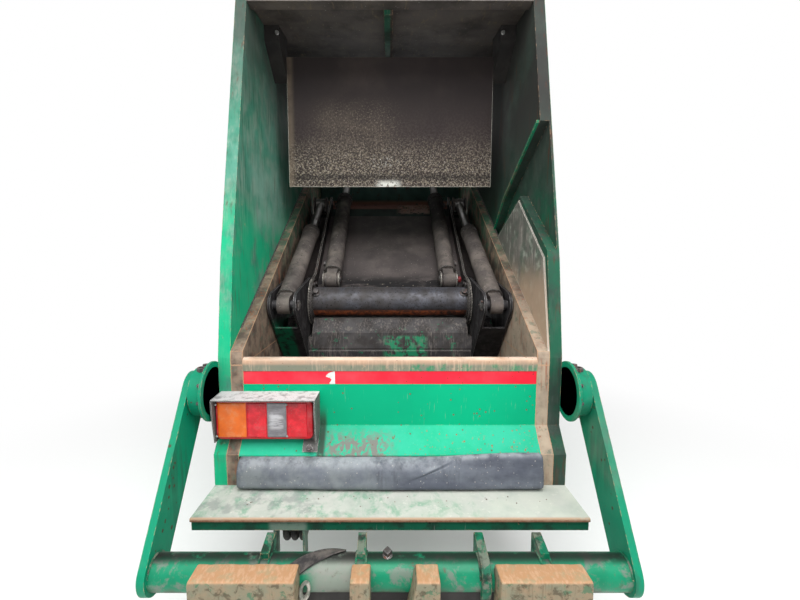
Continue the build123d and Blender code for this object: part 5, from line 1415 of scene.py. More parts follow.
@dataclass
class TailLamp(Assembly):
    """Moulded frame, ribbed lenses and screws of the tail lamp, and the bolt of its guard's post."""

    housing_front: float = -2.2038
    frame_front: float = -2.2128
    lens_front: float = -2.2176
    left: float = -0.683
    right: float = -0.302
    top: float = -1.997
    bottom: float = -2.156
    splits: tuple[float, ...] = (-0.6765, -0.5615, -0.4832, -0.4035, -0.3225)
    lens_top: float = -2.0065
    lens_bottom: float = -2.1475
    corner: float = 0.022
    rolled: float = 0.006
    gap: float = 0.0012
    rib: float = 0.0007
    rib_pitch: float = 0.0035
    crown: float = 0.0008
    screw_columns: tuple[float, float] = (-0.6795, -0.4035)
    screw_rows: tuple[float, float] = (-2.013, -2.141)
    post_bolt_size: float = 0.022
    post_bolt: Vector3 = (-0.316, -2.2145, -2.192)
    apron_out: Vector3 = (0.0, -0.747, 0.664)

    def build(self) -> None:
        """Builds the frame, the lenses in their order, the screws and the bolt."""
        self.piece("lamp_frame", self._frame(), RED_FRAME, Slot.RED)
        amber, first, clear, last = [self._lens(*pair) for pair in zip(self.splits, self.splits[1:])]
        self.piece("amber_lens", amber, AMBER_LENS, Slot.AMBER, instead_of=["tail_lamp_amber_lens"])
        red = joined([first, last])
        self.piece("red_lenses", red, RED_LENS, Slot.RED, instead_of=["tail_lamp_red_lenses"])
        self.piece("clear_lens", clear, CLEAR_LENS, Slot.CLEAR, instead_of=["tail_lamp_clear_lens"])
        head = [(0.0045, 0), (0.0045, 0.0012), (0.0036, 0.0024)]
        screw = turned([*head, (0.0016, 0.0028), (0.001, 0.0016)], 20)
        seats = [(x, self.lens_front + 0.0003, z) for x in self.screw_columns for z in self.screw_rows]
        screws = joined([screw.aimed(seat, (0, -1, 0)) for seat in seats])
        self.piece("lens_screws", screws, BRIGHT_BOLT, Slot.LAMP)
        bolt = hex_bolt(self.post_bolt_size).aimed(self.post_bolt, self.apron_out)
        self.piece("post_bolt", bolt, BOLT_STEEL, Slot.GRIMY)

    def _frame(self) -> Shell:
        """Frame behind the lenses: a rounded box whose front edge is rolled off.

        Each ring is the outline of a rectangle with round corners. Towards the front it is drawn in by an
        inset that follows a quarter circle.

        Returns:
            The closed frame.
        """
        turn = np.linspace(0, math.pi / 2, 7)
        rolled = self.rolled
        steps = [(0.0, self.housing_front)]
        steps += [(rolled * (1 - math.cos(t)), self.frame_front + rolled * (1 - math.sin(t))) for t in turn]
        return skin(np.stack([self._outline(inset, depth) for inset, depth in steps]))

    def _outline(self, inset: float, depth: float) -> np.ndarray:
        """Rectangle with round corners: each point is a corner's middle plus the radius at its angle.

        Args:
            inset: How far the outline is drawn in.
            depth: Its place along Y.

        Returns:
            The outline's points.
        """
        angle = np.linspace(0, 2 * math.pi, 64, endpoint=False) + math.pi / 64
        reach = self.corner - inset
        across, up = np.cos(angle), np.sin(angle)
        x = np.where(across > 0, self.right - self.corner, self.left + self.corner) + reach * across
        z = np.where(up > 0, self.top - self.corner, self.bottom + self.corner) + reach * up
        return np.stack([x, np.full_like(x, depth), z], axis=-1)

    def _lens(self, left: float, right: float) -> Shell:
        """Lens with rolled edges, a slight crown and fine ribs across it.

        The front stands off the frame by the height times the rolled edges, which follow a circle near the
        border, plus the crown and the ribs, which are the absolute value of a sine down the lens.

        Args:
            left: Its left edge.
            right: Its right edge.

        Returns:
            The closed lens.
        """
        x = np.linspace(left + self.gap, right - self.gap, 40)[None, :]
        z = np.linspace(self.lens_top, self.lens_bottom, 240)[:, None]
        edge = np.minimum(x - x.min(), x.max() - x) + 0 * z
        edge = np.minimum(edge, np.minimum(self.lens_top - z, z - self.lens_bottom))
        near = np.clip(edge / self.rolled, 0, 1)
        rolled = np.sqrt(1 - (1 - near) ** 2)
        slanted = z + 0.2 * np.abs(x - (left + right) / 2)
        ribs = self.rib * np.abs(np.sin(slanted * math.pi / self.rib_pitch)) * near
        crown = self.crown * np.sin(math.pi * (x - left) / (right - left)) * near
        y = self.frame_front + 0.0006 - (self.frame_front - self.lens_front - 0.0015) * rolled - ribs - crown
        return slab(np.stack([x + 0 * z, y, z + 0 * x], axis=-1))


@dataclass
class Buffer(Assembly):
    """Rubber roll that lies on the ledge: flattened below, swollen on the right, with a fold across it."""

    middle: tuple[float, float] = (-2.1998, -2.2893)
    radius: float = 0.0598
    half: float = 0.597
    floor: float = -2.3493

    def build(self) -> None:
        """Builds the roll."""
        self.piece("rubber_roll", self._roll(), RUBBER, Slot.RUBBER, smooth=70.0, instead_of=["buffer_roll"])

    @staticmethod
    def _step(share: np.ndarray) -> np.ndarray:
        """Smooth step from 0 to 1: the share's square times three less twice the share."""
        held = np.clip(share, 0, 1)
        return held**2 * (3 - 2 * held)

    def _roll(self) -> Shell:
        """Roll along X.

        The radius at a place and an angle is the roll's own, less shallow dents that are sums of sines, plus
        a swelling on its upper front that grows to the right, a sag over its foot, and a fold that ends in a
        step and a groove along a slanted crease. Near the ends the radius falls along a quarter circle. Points
        below the ledge's top are put on it.

        Returns:
            The closed roll.
        """
        share = np.concatenate([[0, 0.0006, 0.002, 0.0045, 0.008, 0.012], np.linspace(0.018, 0.982, 300)])
        share = np.concatenate([share, [0.988, 0.992, 0.9955, 0.998, 0.9994, 1]])[:, None]
        x = self.half * (2 * share - 1)
        degrees = np.linspace(0, 360, 112, endpoint=False)[None, :]
        angle = np.radians(degrees)
        crease = 0.06 + (200 - degrees) / 85 * 0.21
        above = 1 - self._step((x - crease) / 0.012 + 0.5)
        rising = self._step((x - 0.02) / 0.5)
        front = self._step((degrees - 96.5) / 7)
        swelling = 0.03 * np.exp(-((degrees - 112) / 24) ** 2) * rising
        fading = np.exp(-np.maximum(crease - x, 0) / 0.05)
        fold = 0.0075 * np.exp(-((degrees - 158) / 24) ** 2) * fading * above
        sag = 0.02 * np.exp(-((degrees - 217) / 19) ** 2) * (0.85 + 0.15 * np.sin(5 * x + 1))
        groove = 0.003 * np.exp(-((x - crease - 0.006) / 0.007) ** 2) * np.exp(-((degrees - 158) / 26) ** 2)
        dents = 0.0016 * (0.5 + 0.5 * np.sin(7.3 * x + 1.4 * np.sin(angle) + 1))
        dents = dents + 0.0008 * (0.5 + 0.5 * np.sin(23 * x + 3 * np.cos(angle)))
        wrinkles = 0.0004 * np.sin(160 * x + 6 * np.sin(angle * 2 + 9 * x))
        wrinkles = wrinkles * np.exp(-((degrees - 205) / 45) ** 2)
        from_end = np.clip((self.half - np.abs(x)) / 0.014, 0, 1)
        ends = 0.82 + 0.18 * np.sqrt(1 - (1 - from_end) ** 2)
        reach = (self.radius - dents - groove + wrinkles + front * (swelling + fold) + sag) * ends
        y = self.middle[0] + reach * np.cos(angle)
        z = np.maximum(self.middle[1] + reach * np.sin(angle), self.floor)
        return skin(np.stack([x + 0 * y, y, z], axis=-1))


@dataclass
class Packer(Assembly):
    """Welds, bolts and pin ends at the blade's hinge and the clevises, and small plates on the carriage."""

    plate: float = 0.44
    tube_radius: float = 0.084
    rim: float = 0.132
    bolt_angles: tuple[float, ...] = (34.0, 72.0, 110.0, 148.0)
    bolt_circle: float = 0.109
    tube_bead: float = 0.006
    rim_bead: float = 0.0064
    wing_bead: float = 0.004
    hub_bolt: float = 0.019
    tube_bolt: float = 0.03
    keeper_bolt: float = 0.011
    arm_inner: float = 0.457
    deck_end: float = 1.11
    ear: tuple[float, float] = (-1.72, -1.68)
    pin_radius: float = 0.025
    clevis: tuple[float, float] = (0.11, 0.075)
    clevis_faces: tuple[float, float] = (0.297, 0.385)
    cap_x: float = 0.3975
    tube_bolt_x: float = 0.415
    tube_bolt_out: Vector3 = (0.0, -0.766, 0.643)
    wing: tuple[float, float] = (0.474, 0.586)
    wing_heights: tuple[float, float] = (-0.0705, -0.048)
    doubler: float = 0.0485

    def build(self) -> None:
        """Builds both sides alike."""
        self._tube_welds()
        self._hub_bolts()
        self._ear_keepers()
        self._clevis_pins()
        self._clevis_doublers()
        self._wing_end_webs()

    def _ring(self, x: float, radius: float, count: int) -> np.ndarray:
        """Circle about the hinge at a place along X, without its last point, as a looped path needs."""
        return arc((x, *HINGE), (0, radius, 0), (0, 0, radius), 0, 360 - 360 / count, count)

    def _tube_welds(self) -> None:
        """Welds round the tube's ends, and the coarser ones that build up the bosses' rims."""
        ring = self._ring(self.plate - 0.003, self.tube_radius + 0.003, 168)
        inner = weld_bead(ring, self.tube_bead, (1, 0, 0), True)
        self.piece("tube_end_welds", inner.both_sides(), DARK_WELD, Slot.WORN, Body.CARRIAGE)
        ring = self._ring(self.plate - 0.002, self.rim - 0.004, 208)
        outer = weld_bead(ring, self.rim_bead, (1, 0, 0), True)
        self.piece("boss_rim_welds", outer.both_sides(), DARK_WELD, Slot.WORN, Body.CARRIAGE)

    def _hub_bolts(self) -> None:
        """Bolts between the tube and the rim, over the top of the faces that look to the middle."""
        bolt = hex_bolt(self.hub_bolt)
        places = bolt_places((self.plate, *HINGE), self.bolt_circle, self.bolt_angles)
        ring = joined([bolt.aimed(place, (-1, 0, 0)) for place in places])
        self.piece("hub_bolts", ring.both_sides(), BOLT_STEEL, Slot.GRIMY, Body.CARRIAGE)

    def _clevis_doublers(self) -> None:
        """Doubler plates on the outer faces of the clevises, and the bolts over the tube's ends.

        A plate's outline is an arc round the pin and a foot on the deck. Its outer rim is drawn in a little.
        """
        turn = np.radians(np.linspace(-25, 205, 40))
        rounded = np.array(self.clevis) + self.doubler * np.column_stack([np.cos(turn), np.sin(turn)])
        outline = np.concatenate([rounded, [(0.108, 0.006), (0.112, 0.0015), (0.18, 0.0015), (0.184, 0.006)]])
        middle = np.array([0.12, 0.07])
        plates = []
        for face, way in zip(self.clevis_faces, (-1, 1)):
            rings = []
            for out, drawn in ((-0.0005, 1.0), (0.004, 1.0), (0.0051, 0.975)):
                up, over = (middle + (outline - middle) * drawn).T
                rings.append(on_slide(face + way * out, up, over))
            plates.append(skin(np.stack(rings)))
        self.piece("clevis_doublers", joined(plates).both_sides(), SIDE_PLATE_STEEL, Slot.WORN, Body.CARRIAGE)
        out = np.array(self.tube_bolt_out)
        seat = np.array([self.tube_bolt_x, *HINGE]) + self.tube_radius * out
        rim = [(0.021, -0.006), (0.022, 0.002), (0.021, 0.0032)]
        washer = turned([(0.001, -0.006), *rim, (0.001, 0.0032)], 32)
        ends = [washer.aimed(seat, out), hex_bolt(self.tube_bolt).aimed(seat + 0.003 * out, out)]
        self.piece("tube_end_bolts", joined(ends).both_sides(), BOLT_STEEL, Slot.GRIMY, Body.CARRIAGE)

    def _wing_end_webs(self) -> None:
        """Low webs across the wings' ends behind the brackets, with a weld at the foot."""
        low, high = self.wing_heights
        left, right = self.wing
        last = self.deck_end - 0.004
        first = last - 0.0095
        up = np.array([first, last, last, last - 0.002, first + 0.002, first])
        over = np.array([low, low, high - 0.002, high, high, high - 0.002])
        web = skin(np.stack([on_slide(x, up, over) for x in (left, right)]))
        seam = on_slide(np.linspace(left + 0.002, right - 0.002, 80), first, low + 0.001)
        foot = weld_bead(seam, self.wing_bead, (0, 0, 1))
        webs = joined([web, foot]).both_sides()
        self.piece("wing_end_webs", webs, SIDE_PLATE_STEEL, Slot.WORN, Body.CARRIAGE)

    def _ear_keepers(self) -> None:
        """Ends of the ear pins on the inner arm plates, each with a keeper bar held by two bolts."""
        y, z = self.ear
        face = self.arm_inner
        beside = y - 0.032
        end = [(self.pin_radius, 0), (self.pin_radius, 0.004), (self.pin_radius - 0.003, 0.0065)]
        pin = turned([*end, (0.006, 0.0065), (0.0045, 0.004), (0.001, 0.004)], 40)
        pin = pin.aimed((face, y, z), (-1, 0, 0))
        side = [(-0.003, -0.03), (-0.003, 0.03), (0.0, 0.031)]
        outline = np.array([*side, (0.003, 0.03), (0.003, -0.03), (0.0, -0.031)])
        path = np.array([(face, beside, z + offset) for offset in (-0.01, -0.0005, 0.0105)])
        bolt = hex_bolt(self.keeper_bolt)
        bolts = [bolt.aimed((face - 0.002, beside, z + offset), (-1, 0, 0)) for offset in (-0.02, 0.02)]
        stem = [(0.0045, 0), (0.0045, 0.003), (0.003, 0.004), (0.0028, 0.007), (0.0034, 0.009)]
        nipple = turned([*stem, (0.002, 0.0115), (0.0005, 0.0118)], 16)
        nipple = nipple.aimed((face - 0.004, y, z), (-1, 0, 0))
        parts = joined([carried(path, outline, (0, 1, 0)), *bolts, nipple])
        self.piece("ear_pin_ends", pin.both_sides(), ROD_STEEL, Slot.ROD, Body.BLADE)
        self.piece("ear_pin_bolts", parts.both_sides(), BOLT_STEEL, Slot.GRIMY, Body.BLADE)

    def _clevis_pins(self) -> None:
        """Washers and pin heads at the clevises of the carriage cylinders, and one red grease cap."""
        y, z = on_slide(0.0, *self.clevis)[1:]
        rim = [(0.033, 0), (0.034, 0.001), (0.034, 0.004), (0.033, 0.005)]
        washer = turned([(0.012, 0), *rim, (0.012, 0.005)], 36)
        head = turned([(0.0247, 0.004), (0.0247, 0.009), (0.021, 0.012), (0.0, 0.0125)], 36)
        sides = tuple(zip(self.clevis_faces, (-1, 1)))
        ends = [part.aimed((x, y, z), (way, 0, 0)) for part in (washer, head) for x, way in sides]
        self.piece("clevis_pin_ends", joined(ends).both_sides(), BOLT_STEEL, Slot.GRIMY, Body.CARRIAGE)
        dome = [(0.018, 0), (0.0185, 0.005), (0.017, 0.015), (0.011, 0.02)]
        cap = turned([(0.0, 0), *dome, (0.0, 0.0212)], 28).aimed((self.cap_x, y, z), (1, 0, 0))
        self.piece("grease_cap", cap, RED_CAP, Slot.RED, Body.CARRIAGE)


@dataclass
class Cylinder:
    """Line of one hydraulic cylinder.

    Attributes:
        x: Its place along X.
        start: Y and Z of the barrel's eye.
        end: Y and Z of the rod's eye.
        length: Barrel's length from its eye to the mouth.
        radius: Barrel's radius.
    """

    x: float
    start: Sequence[float]
    end: Sequence[float]
    length: float
    radius: float

    def ahead(self) -> np.ndarray:
        """Direction along the cylinder, from the barrel's eye to the rod's."""
        run = np.array([0.0, self.end[0] - self.start[0], self.end[1] - self.start[1]])
        return run / np.linalg.norm(run)

    def place(self, run: float) -> np.ndarray:
        """Point on the axis at a distance from the barrel's eye."""
        return np.array([self.x, *self.start]) + run * self.ahead()


@dataclass
class Cylinders(Assembly):
    """Gland nuts, weld beads and port collars of the four cylinders."""

    carriage_x: float = 0.341
    carriage_length: float = 0.96
    carriage_radius: float = 0.0515
    blade_x: float = 0.525
    blade_length: float = 0.86
    blade_radius: float = 0.05
    rod: float = 0.0285
    port_inset: float = 0.09
    closed_end: float = 0.061
    bead: float = 0.0042
    barrel_eye: tuple[float, float] = (0.11, 0.075)
    rod_eye: tuple[float, float] = (1.565, 0.075)
    anchor: tuple[float, float] = (1.066, 0.03)
    ear: tuple[float, float] = (-1.72, -1.68)

    def build(self) -> None:
        """Dresses the carriage cylinders and the blade cylinders."""
        spots = (self.barrel_eye, self.rod_eye, self.anchor)
        low, high, anchor = (on_slide(0.0, *spot)[1:] for spot in spots)
        carriage = Cylinder(self.carriage_x, low, high, self.carriage_length, self.carriage_radius)
        self._dress(carriage, "carriage", Body.CARRIAGE, (1.0, 0.0, 0.0))
        blade = Cylinder(self.blade_x, self.ear, anchor, self.blade_length, self.blade_radius)
        self._dress(blade, "blade", Body.BARRELS, np.cross(blade.ahead(), (1.0, 0.0, 0.0)))

    def _dress(self, line: Cylinder, name: str, body: Body, port: Vector3) -> None:
        """Dresses a pair of cylinders.

        Args:
            line: The right one's line.
            name: Start of the pieces' names.
            body: The body that carries the barrels.
            port: Direction that the ports face on the right side.
        """
        ahead = line.ahead()
        notched = self._gland(line.radius - 0.008).aimed(line.place(line.length), ahead)
        self.piece(f"{name}_gland_nuts", notched.both_sides(), BOLT_STEEL, Slot.GRIMY, body)
        above = line.radius * np.cross(ahead, (1, 0, 0))
        ring = arc(line.place(self.closed_end + 0.0025), (line.radius, 0, 0), above, 0, 357, 128)
        bead = weld_bead(ring, self.bead, ahead, True)
        self.piece(f"{name}_barrel_welds", bead.both_sides(), DARK_WELD, Slot.WORN, body)
        collar = hex_ring(0.0142, 0.0186, (-0.005, 0.0075))
        runs = (self.closed_end + self.port_inset, line.length - self.port_inset)
        seats = [line.place(run) + line.radius * np.array(port) for run in runs]
        collars = joined([collar.aimed(seat, port, ahead) for seat in seats])
        self.piece(f"{name}_port_collars", collars.both_sides(), BOLT_STEEL, Slot.GRIMY, body)

    def _gland(self, radius: float) -> Shell:
        """Ring nut at a barrel's mouth.

        Its radius is cut down in six places round the turn, where the sine of six times the angle is high.
        The bore leaves room for the rod.

        Args:
            radius: Outer radius of the nut.

        Returns:
            The nut, with its zero on the barrel's end.
        """
        outside = [(self.rod, 0.0), (radius, 0.0), (radius, 0.008), (radius - 0.003, 0.0105)]
        nut = turned([*outside, (self.rod + 0.004, 0.0105), (self.rod, 0.007)], 96, looped=True)
        x, y = nut.points[:, 0], nut.points[:, 1]
        reach = np.hypot(x, y)
        notch = np.clip((np.sin(6 * np.arctan2(y, x)) - 0.8) * 8, 0, 1) * 0.005
        nut.points[:, :2] *= 1 - (np.where(reach > radius - 0.0031, notch, 0) / reach)[:, None]
        return nut


@dataclass
class BinLift(Assembly):
    """Strap, rings, plug and welds on the lift's tube, and the flanges, bolts and unions of its drives."""

    tube: tuple[float, float] = (-2.5298, -2.462)
    radius: float = 0.057
    pivot: tuple[float, float] = (-2.1798, -1.97)
    wall: float = 0.7
    flange_thick: float = 0.0105
    flange_circle: float = 0.106
    flange_bolt: float = 0.013
    shaft_end: float = 0.7925
    shaft_circle: float = 0.016
    shaft_bolt: float = 0.01
    bead: float = 0.0036
    hooks: tuple[float, ...] = (-0.403, -0.093, 0.3, 0.498)

    def build(self) -> None:
        """Builds the pieces on the tube and at its drives."""
        self._strap()
        self._fittings()
        self._welds()
        self._drives()

    def _around(self, x: np.ndarray, degrees: np.ndarray, off: float) -> np.ndarray:
        """Points round the tube's axis: radius and distance, times the cosine up and the sine rearwards.

        Args:
            x: Place of each along X.
            degrees: Angle of each from the tube's top towards the rear.
            off: Distance off the tube.

        Returns:
            The points, one in each row.
        """
        angle = np.radians(degrees)
        reach = self.radius + off
        y, z = self.tube[0] - reach * np.sin(angle), self.tube[1] + reach * np.cos(angle)
        return np.stack([x, y, z], axis=-1)

    def _strap(self) -> None:
        """Rubber strap that is wound slanting over the tube."""
        share = np.linspace(0, 1, 60)
        path = self._around(-0.318 + 0.165 * share, 62 - 96 * share**0.8, 0.0035)
        right = np.array([(0.02, -0.0028), (0.0225, 0.0), (0.02, 0.0032)])
        flat = np.concatenate([right[:1] * (-1, 1), right, right[:0:-1] * (-1, 1)])
        outward = np.array([0.0, *self.tube])
        ahead = np.gradient(path, axis=0)
        ahead /= np.linalg.norm(ahead, axis=1, keepdims=True)
        above = (path - outward) * np.array([0.0, 1.0, 1.0])
        above /= np.linalg.norm(above, axis=1, keepdims=True)
        across = np.cross(ahead, above)
        grid = path[:, None] + flat[None, :, :1] * across[:, None] + flat[None, :, 1:] * above[:, None]
        self.piece("lift_strap", skin(grid), BLACK_RUBBER, Slot.RUBBER, Body.LIFT, 30.0)

    def _fittings(self) -> None:
        """Pair of oval rings at the strap's end, and the square plug on top of the tube."""
        rings = []
        for y, wide, tall in ((-2.6, 0.0135, 0.0245), (-2.592, 0.012, 0.022)):
            path = arc((-0.265, y, -2.472), (wide, 0, 0.002), (0.002, 0.004, tall), 0, 350, 36)
            rings.append(carried(path, circle(0.005, 10), (0, 1, 0), looped=True))
        self.piece("strap_rings", joined(rings), DUSTY_FITTING, Slot.GRIMY, Body.LIFT, 50.0)
        seat = turned([(0.014, -0.004), (0.016, -0.002), (0.016, 0.004), (0.0115, 0.007)], 32)
        square = 0.0105 * np.array([(-1, -1), (1, -1), (1, 1), (-1, 1)])
        rise = np.array([(0, 0, 0.004), (0, 0, 0.012), (0, 0, 0.0235), (0, 0, 0.0255)])
        stem = carried(rise, square, (1, 1, 0), np.array([1.0, 1.0, 1.0, 0.8]))
        plug = joined([seat, stem]).aimed((-0.008, self.tube[0], self.tube[1] + self.radius), (0, -0.25, 1))
        self.piece("tube_plug", plug, BOLT_STEEL, Slot.GRIMY, Body.LIFT)

    def _welds(self) -> None:
        """Welds where the hooks and the arms meet the tube."""
        beads = []
        for x in (*[hook + side * 0.0155 for hook in self.hooks for side in (-1, 1)], -0.7605, 0.7605):
            turn = self._around(np.full(150, x), np.linspace(-120, 75, 150), 0.001)
            beads.append(weld_bead(turn, self.bead, (1, 0, 0)))
        self.piece("lift_welds", joined(beads), HOOK_GREEN, Slot.GREEN, Body.LIFT, 60.0)

    def _drives(self) -> None:
        """Flange and bolts where each drive stands on its wall, its two ports, and the shaft's end plate."""
        y, z = self.pivot
        thick = self.flange_thick
        rim = [(0.116, 0), (0.1175, 0.0015), (0.1175, thick - 0.0015), (0.116, thick)]
        flange = turned([(0.094, 0), *rim, (0.094, thick)], 72).aimed((self.wall, y, z), (1, 0, 0))
        self.piece("drive_flanges", flange.both_sides(), OUTER_GREEN, Slot.GREEN)
        places = bolt_places((self.wall + thick, y, z), self.flange_circle, range(8, 368, 36))
        bolts = joined([hex_bolt(self.flange_bolt).aimed(place, (1, 0, 0)) for place in places])
        self.piece("drive_bolts", bolts.both_sides(), BOLT_STEEL, Slot.GRIMY)
        union = hex_ring(0.008, 0.0145, (-0.006, 0.012))
        seats = [(off, (self.wall + 0.033, y + off, z + 0.0905)) for off in (-0.026, 0.026)]
        tops = joined([union.aimed(seat, (0, off * 4, 1)) for off, seat in seats])
        self.piece("drive_unions", tops.both_sides(), BOLT_STEEL, Slot.GRIMY)
        rim = [(0.028, 0), (0.029, 0.001), (0.029, 0.0045), (0.0275, 0.006)]
        plate = turned([(0.0, 0), *rim, (0.0, 0.006)], 40)
        places = bolt_places((self.shaft_end + 0.006, y, z), self.shaft_circle, (30, 150, 270))
        heads = [hex_bolt(self.shaft_bolt).aimed(place, (1, 0, 0)) for place in places]
        end = joined([plate.aimed((self.shaft_end, y, z), (1, 0, 0)), *heads])
        self.piece("shaft_end_plates", end.both_sides(), BOLT_STEEL, Slot.GRIMY)


@dataclass
class Comb(Assembly):
    """Blocks that the bins' rims hang on, with their corners worn round and their upper front edge cut down.

    Attributes:
        spans: Left and right end of each block.
        slanted: Number of the block whose left side leans.
        slant: How far it leans.
        outline: Y and Z of the corners of a block seen from the side, and how far each is rounded.
        grooves: Depth of the wear along the top.
        worn_above: Height over which that wear lies.
        bar_heights: Lower and upper edge of the bar behind the blocks.
        bar_depths: Its rear and front face.
    """

    spans: tuple[tuple[float, float], ...] = ((-0.6, -0.283), (-0.119, -0.06), (0.039, 0.149), (0.328, 0.6))
    slanted: int = 2
    slant: float = 0.04
    outline: tuple[Vector3, ...] = (
        (-2.6618, -2.6, 0.004), (-2.5448, -2.6, 0.004), (-2.5448, -2.47, 0.012), (-2.581, -2.3915, 0.009),
        (-2.6618, -2.3915, 0.011),
    )
    grooves: float = 0.0016
    worn_above: float = -2.402
    bar_heights: tuple[float, float] = (-2.597, -2.492)
    bar_depths: tuple[float, float] = (-2.577, -2.546)

    def build(self) -> None:
        """Builds the blocks in place of the plain ones, and the dark bar under the tube that joins them and
        also paints the shade in the gaps between them.
        """
        blocks = joined([self._block(number, *span) for number, span in enumerate(self.spans)])
        self.piece("comb_blocks", blocks, COMB_STEEL, Slot.WORN, Body.LIFT, 35.0, instead_of=["lift_comb"])
        # Dark bar behind the blocks: it also stands in for the shade in the gaps under the tube.
        (low, high), (rear, front) = self.bar_heights, self.bar_depths
        under = [(front, low), (rear + 0.004, low), (rear, low + 0.004)]
        outline = np.array([*under, (rear, high), (front, high - 0.012)])
        stations = np.linspace(self.spans[0][0] + 0.01, self.spans[-1][1] - 0.01, 60)
        bar = skin(np.stack([np.column_stack([np.full(len(outline), x), outline]) for x in stations]))
        self.piece("comb_back_bar", bar, HANGER_STEEL, Slot.GRIMY, Body.LIFT)

    def _side(self, steps: int = 7) -> np.ndarray:
        """Outline with each corner replaced by a parabola between the points a set way along both its sides.

        A point of the parabola is the first end times the square of what is left of the share, plus the
        corner times twice the share times what is left, plus the second end times the share's square.

        Args:
            steps: Points on each corner.

        Returns:
            Y and Z of the outline's points.
        """
        corners = np.array(self.outline)
        place, cut = corners[:, :2], corners[:, 2:]
        back, ahead = np.roll(place, 1, axis=0) - place, np.roll(place, -1, axis=0) - place
        first = place + back / np.linalg.norm(back, axis=1, keepdims=True) * cut
        second = place + ahead / np.linalg.norm(ahead, axis=1, keepdims=True) * cut
        share = np.linspace(0, 1, steps)[None, :, None]
        left = 1 - share
        bend = first[:, None] * left**2 + 2 * place[:, None] * share * left + second[:, None] * share**2
        return bend.reshape(-1, 2)

    def _block(self, number: int, left: float, right: float) -> Shell:
        """One block.

        The outline is carried from end to end. It is drawn in towards its middle near the ends, where the
        worn corners are, and by the depth of dents that are products and sums of sines, most of them on top.
        On the slanted block, a point's X moves right by the slant times its share of the height, times what is
        left of the way to the right end.

        Args:
            number: The block's number.
            left: Its left end.
            right: Its right end.

        Returns:
            The closed block.
        """
        side = self._side()
        middle = side.mean(axis=0)
        inset = np.array([0.005, 0.0022, 0.0006, 0.0])
        ends = np.array([0.0, 0.0014, 0.004, 0.0085])
        inner = np.linspace(left + 0.013, right - 0.013, max(4, int((right - left) / 0.006)))
        x = np.concatenate([left + ends, inner, right - ends[::-1]])[:, None]
        drawn = np.concatenate([inset, np.zeros(len(inner)), inset[::-1]])[:, None]
        y, z = side[None, :, 0], side[None, :, 1]
        span = np.hypot(y - middle[0], z - middle[1])
        long, short = 0.5 + 0.5 * np.sin(61 * x + 40 * y), 0.5 + 0.5 * np.sin(143 * x + number)
        dent = self.grooves * long * short * (z > self.worn_above)
        dent = dent + 0.0007 * (0.5 + 0.5 * np.sin(97 * z + 53 * x + number))
        kept = 1 - (drawn + dent) / span
        height = np.clip((z - self.outline[0][1]) / (self.outline[-1][1] - self.outline[0][1]), 0, 1)
        lean = (self.slant if number == self.slanted else 0.0) * height * (right - x) / (right - left)
        y, z = middle[0] + (y - middle[0]) * kept, middle[1] + (z - middle[1]) * kept
        return skin(np.stack([x + lean, y, z], axis=-1))


@dataclass
class Hoses(Assembly):
    """Ferrules of the hanging hoses, and the band that holds their rear legs."""

    places: tuple[float, ...] = (-0.388, -0.358, -0.328)
    rear: float = -2.3338
    front: float = -2.2438
    ferrule: float = -2.4096
    band: float = -2.4396
    radius: float = 0.012

    def build(self) -> None:
        """Builds them under the ledge."""
        lower = [(0.0125, 0), (0.0155, 0.001), (0.0155, 0.02), (0.0145, 0.022)]
        sleeve = turned([*lower, (0.0155, 0.024), (0.0155, 0.042), (0.0125, 0.044)], 28)
        seats = [(x, y, self.ferrule) for x in self.places for y in (self.rear, self.front)]
        ferrules = joined([sleeve.aimed(seat, (0, 0, 1)) for seat in seats])
        self.piece("hose_ferrules", ferrules, BOLT_STEEL, Slot.GRIMY)
        self.piece("hose_band", self._band(), BLACK_RUBBER, Slot.RUBBER)

    def _band(self) -> Shell:
        """Flat band round the row of rear legs.

        Its path lies at the row's middle plus half the row's length times twice the cosine of an angle, held
        between -1 and 1, plus the band's radius times the cosine. Across the row it is the radius times the
        sine.

        Returns:
            The closed band.
        """
        angle = np.linspace(0, 2 * math.pi, 96, endpoint=False)
        half = (self.places[-1] - self.places[0]) / 2
        reach = self.radius + 0.0012
        middle = (self.places[0] + self.places[-1]) / 2
        x = middle + half * np.clip(2 * np.cos(angle), -1, 1) + reach * np.cos(angle)
        path = np.stack([x, self.rear + reach * np.sin(angle), np.full_like(x, self.band)], axis=-1)
        flat = np.array([(-0.0011, -0.008), (0.0011, -0.008), (0.0011, 0.008), (-0.0011, 0.008)])
        return carried(path, flat, (0, 0, 1), looped=True)


@dataclass
class Debris(Assembly):
    """Crumbs of dry dirt where they gather."""

    ledge_top: float = -2.3496
    ledge_half: float = 0.59
    buffer_foot: float = -2.286
    ledge_sizes: tuple[float, float] = (0.0012, 0.0036)
    deck_half: float = 0.42
    deck_foot: float = 0.11
    deck_sizes: tuple[float, float] = (0.002, 0.0055)
    count: int = 26
    seed: int = 5

    def build(self) -> None:
        """Scatters crumbs on the ledge along the buffer, and on the deck's foot."""
        chance = np.random.default_rng(self.seed)
        count = self.count
        x = chance.uniform(-self.ledge_half, self.ledge_half, count)
        y = self.buffer_foot - chance.exponential(0.03, count).clip(0, 0.12)
        size = chance.uniform(*self.ledge_sizes, count)
        places = np.stack([x, y, self.ledge_top + size * 0.35], axis=-1)
        self.piece("ledge_crumbs", stones(places, size, 6), DIRT, Slot.GRIMY)
        up = self.deck_foot + chance.exponential(0.05, count).clip(0, 0.6)
        x = chance.uniform(-self.deck_half, self.deck_half, count)
        size = chance.uniform(*self.deck_sizes, count)
        crumbs = stones(on_slide(x, up, 0.3 * size), size, 7)
        self.piece("deck_crumbs", crumbs, DIRT, Slot.GRIMY, Body.CARRIAGE)


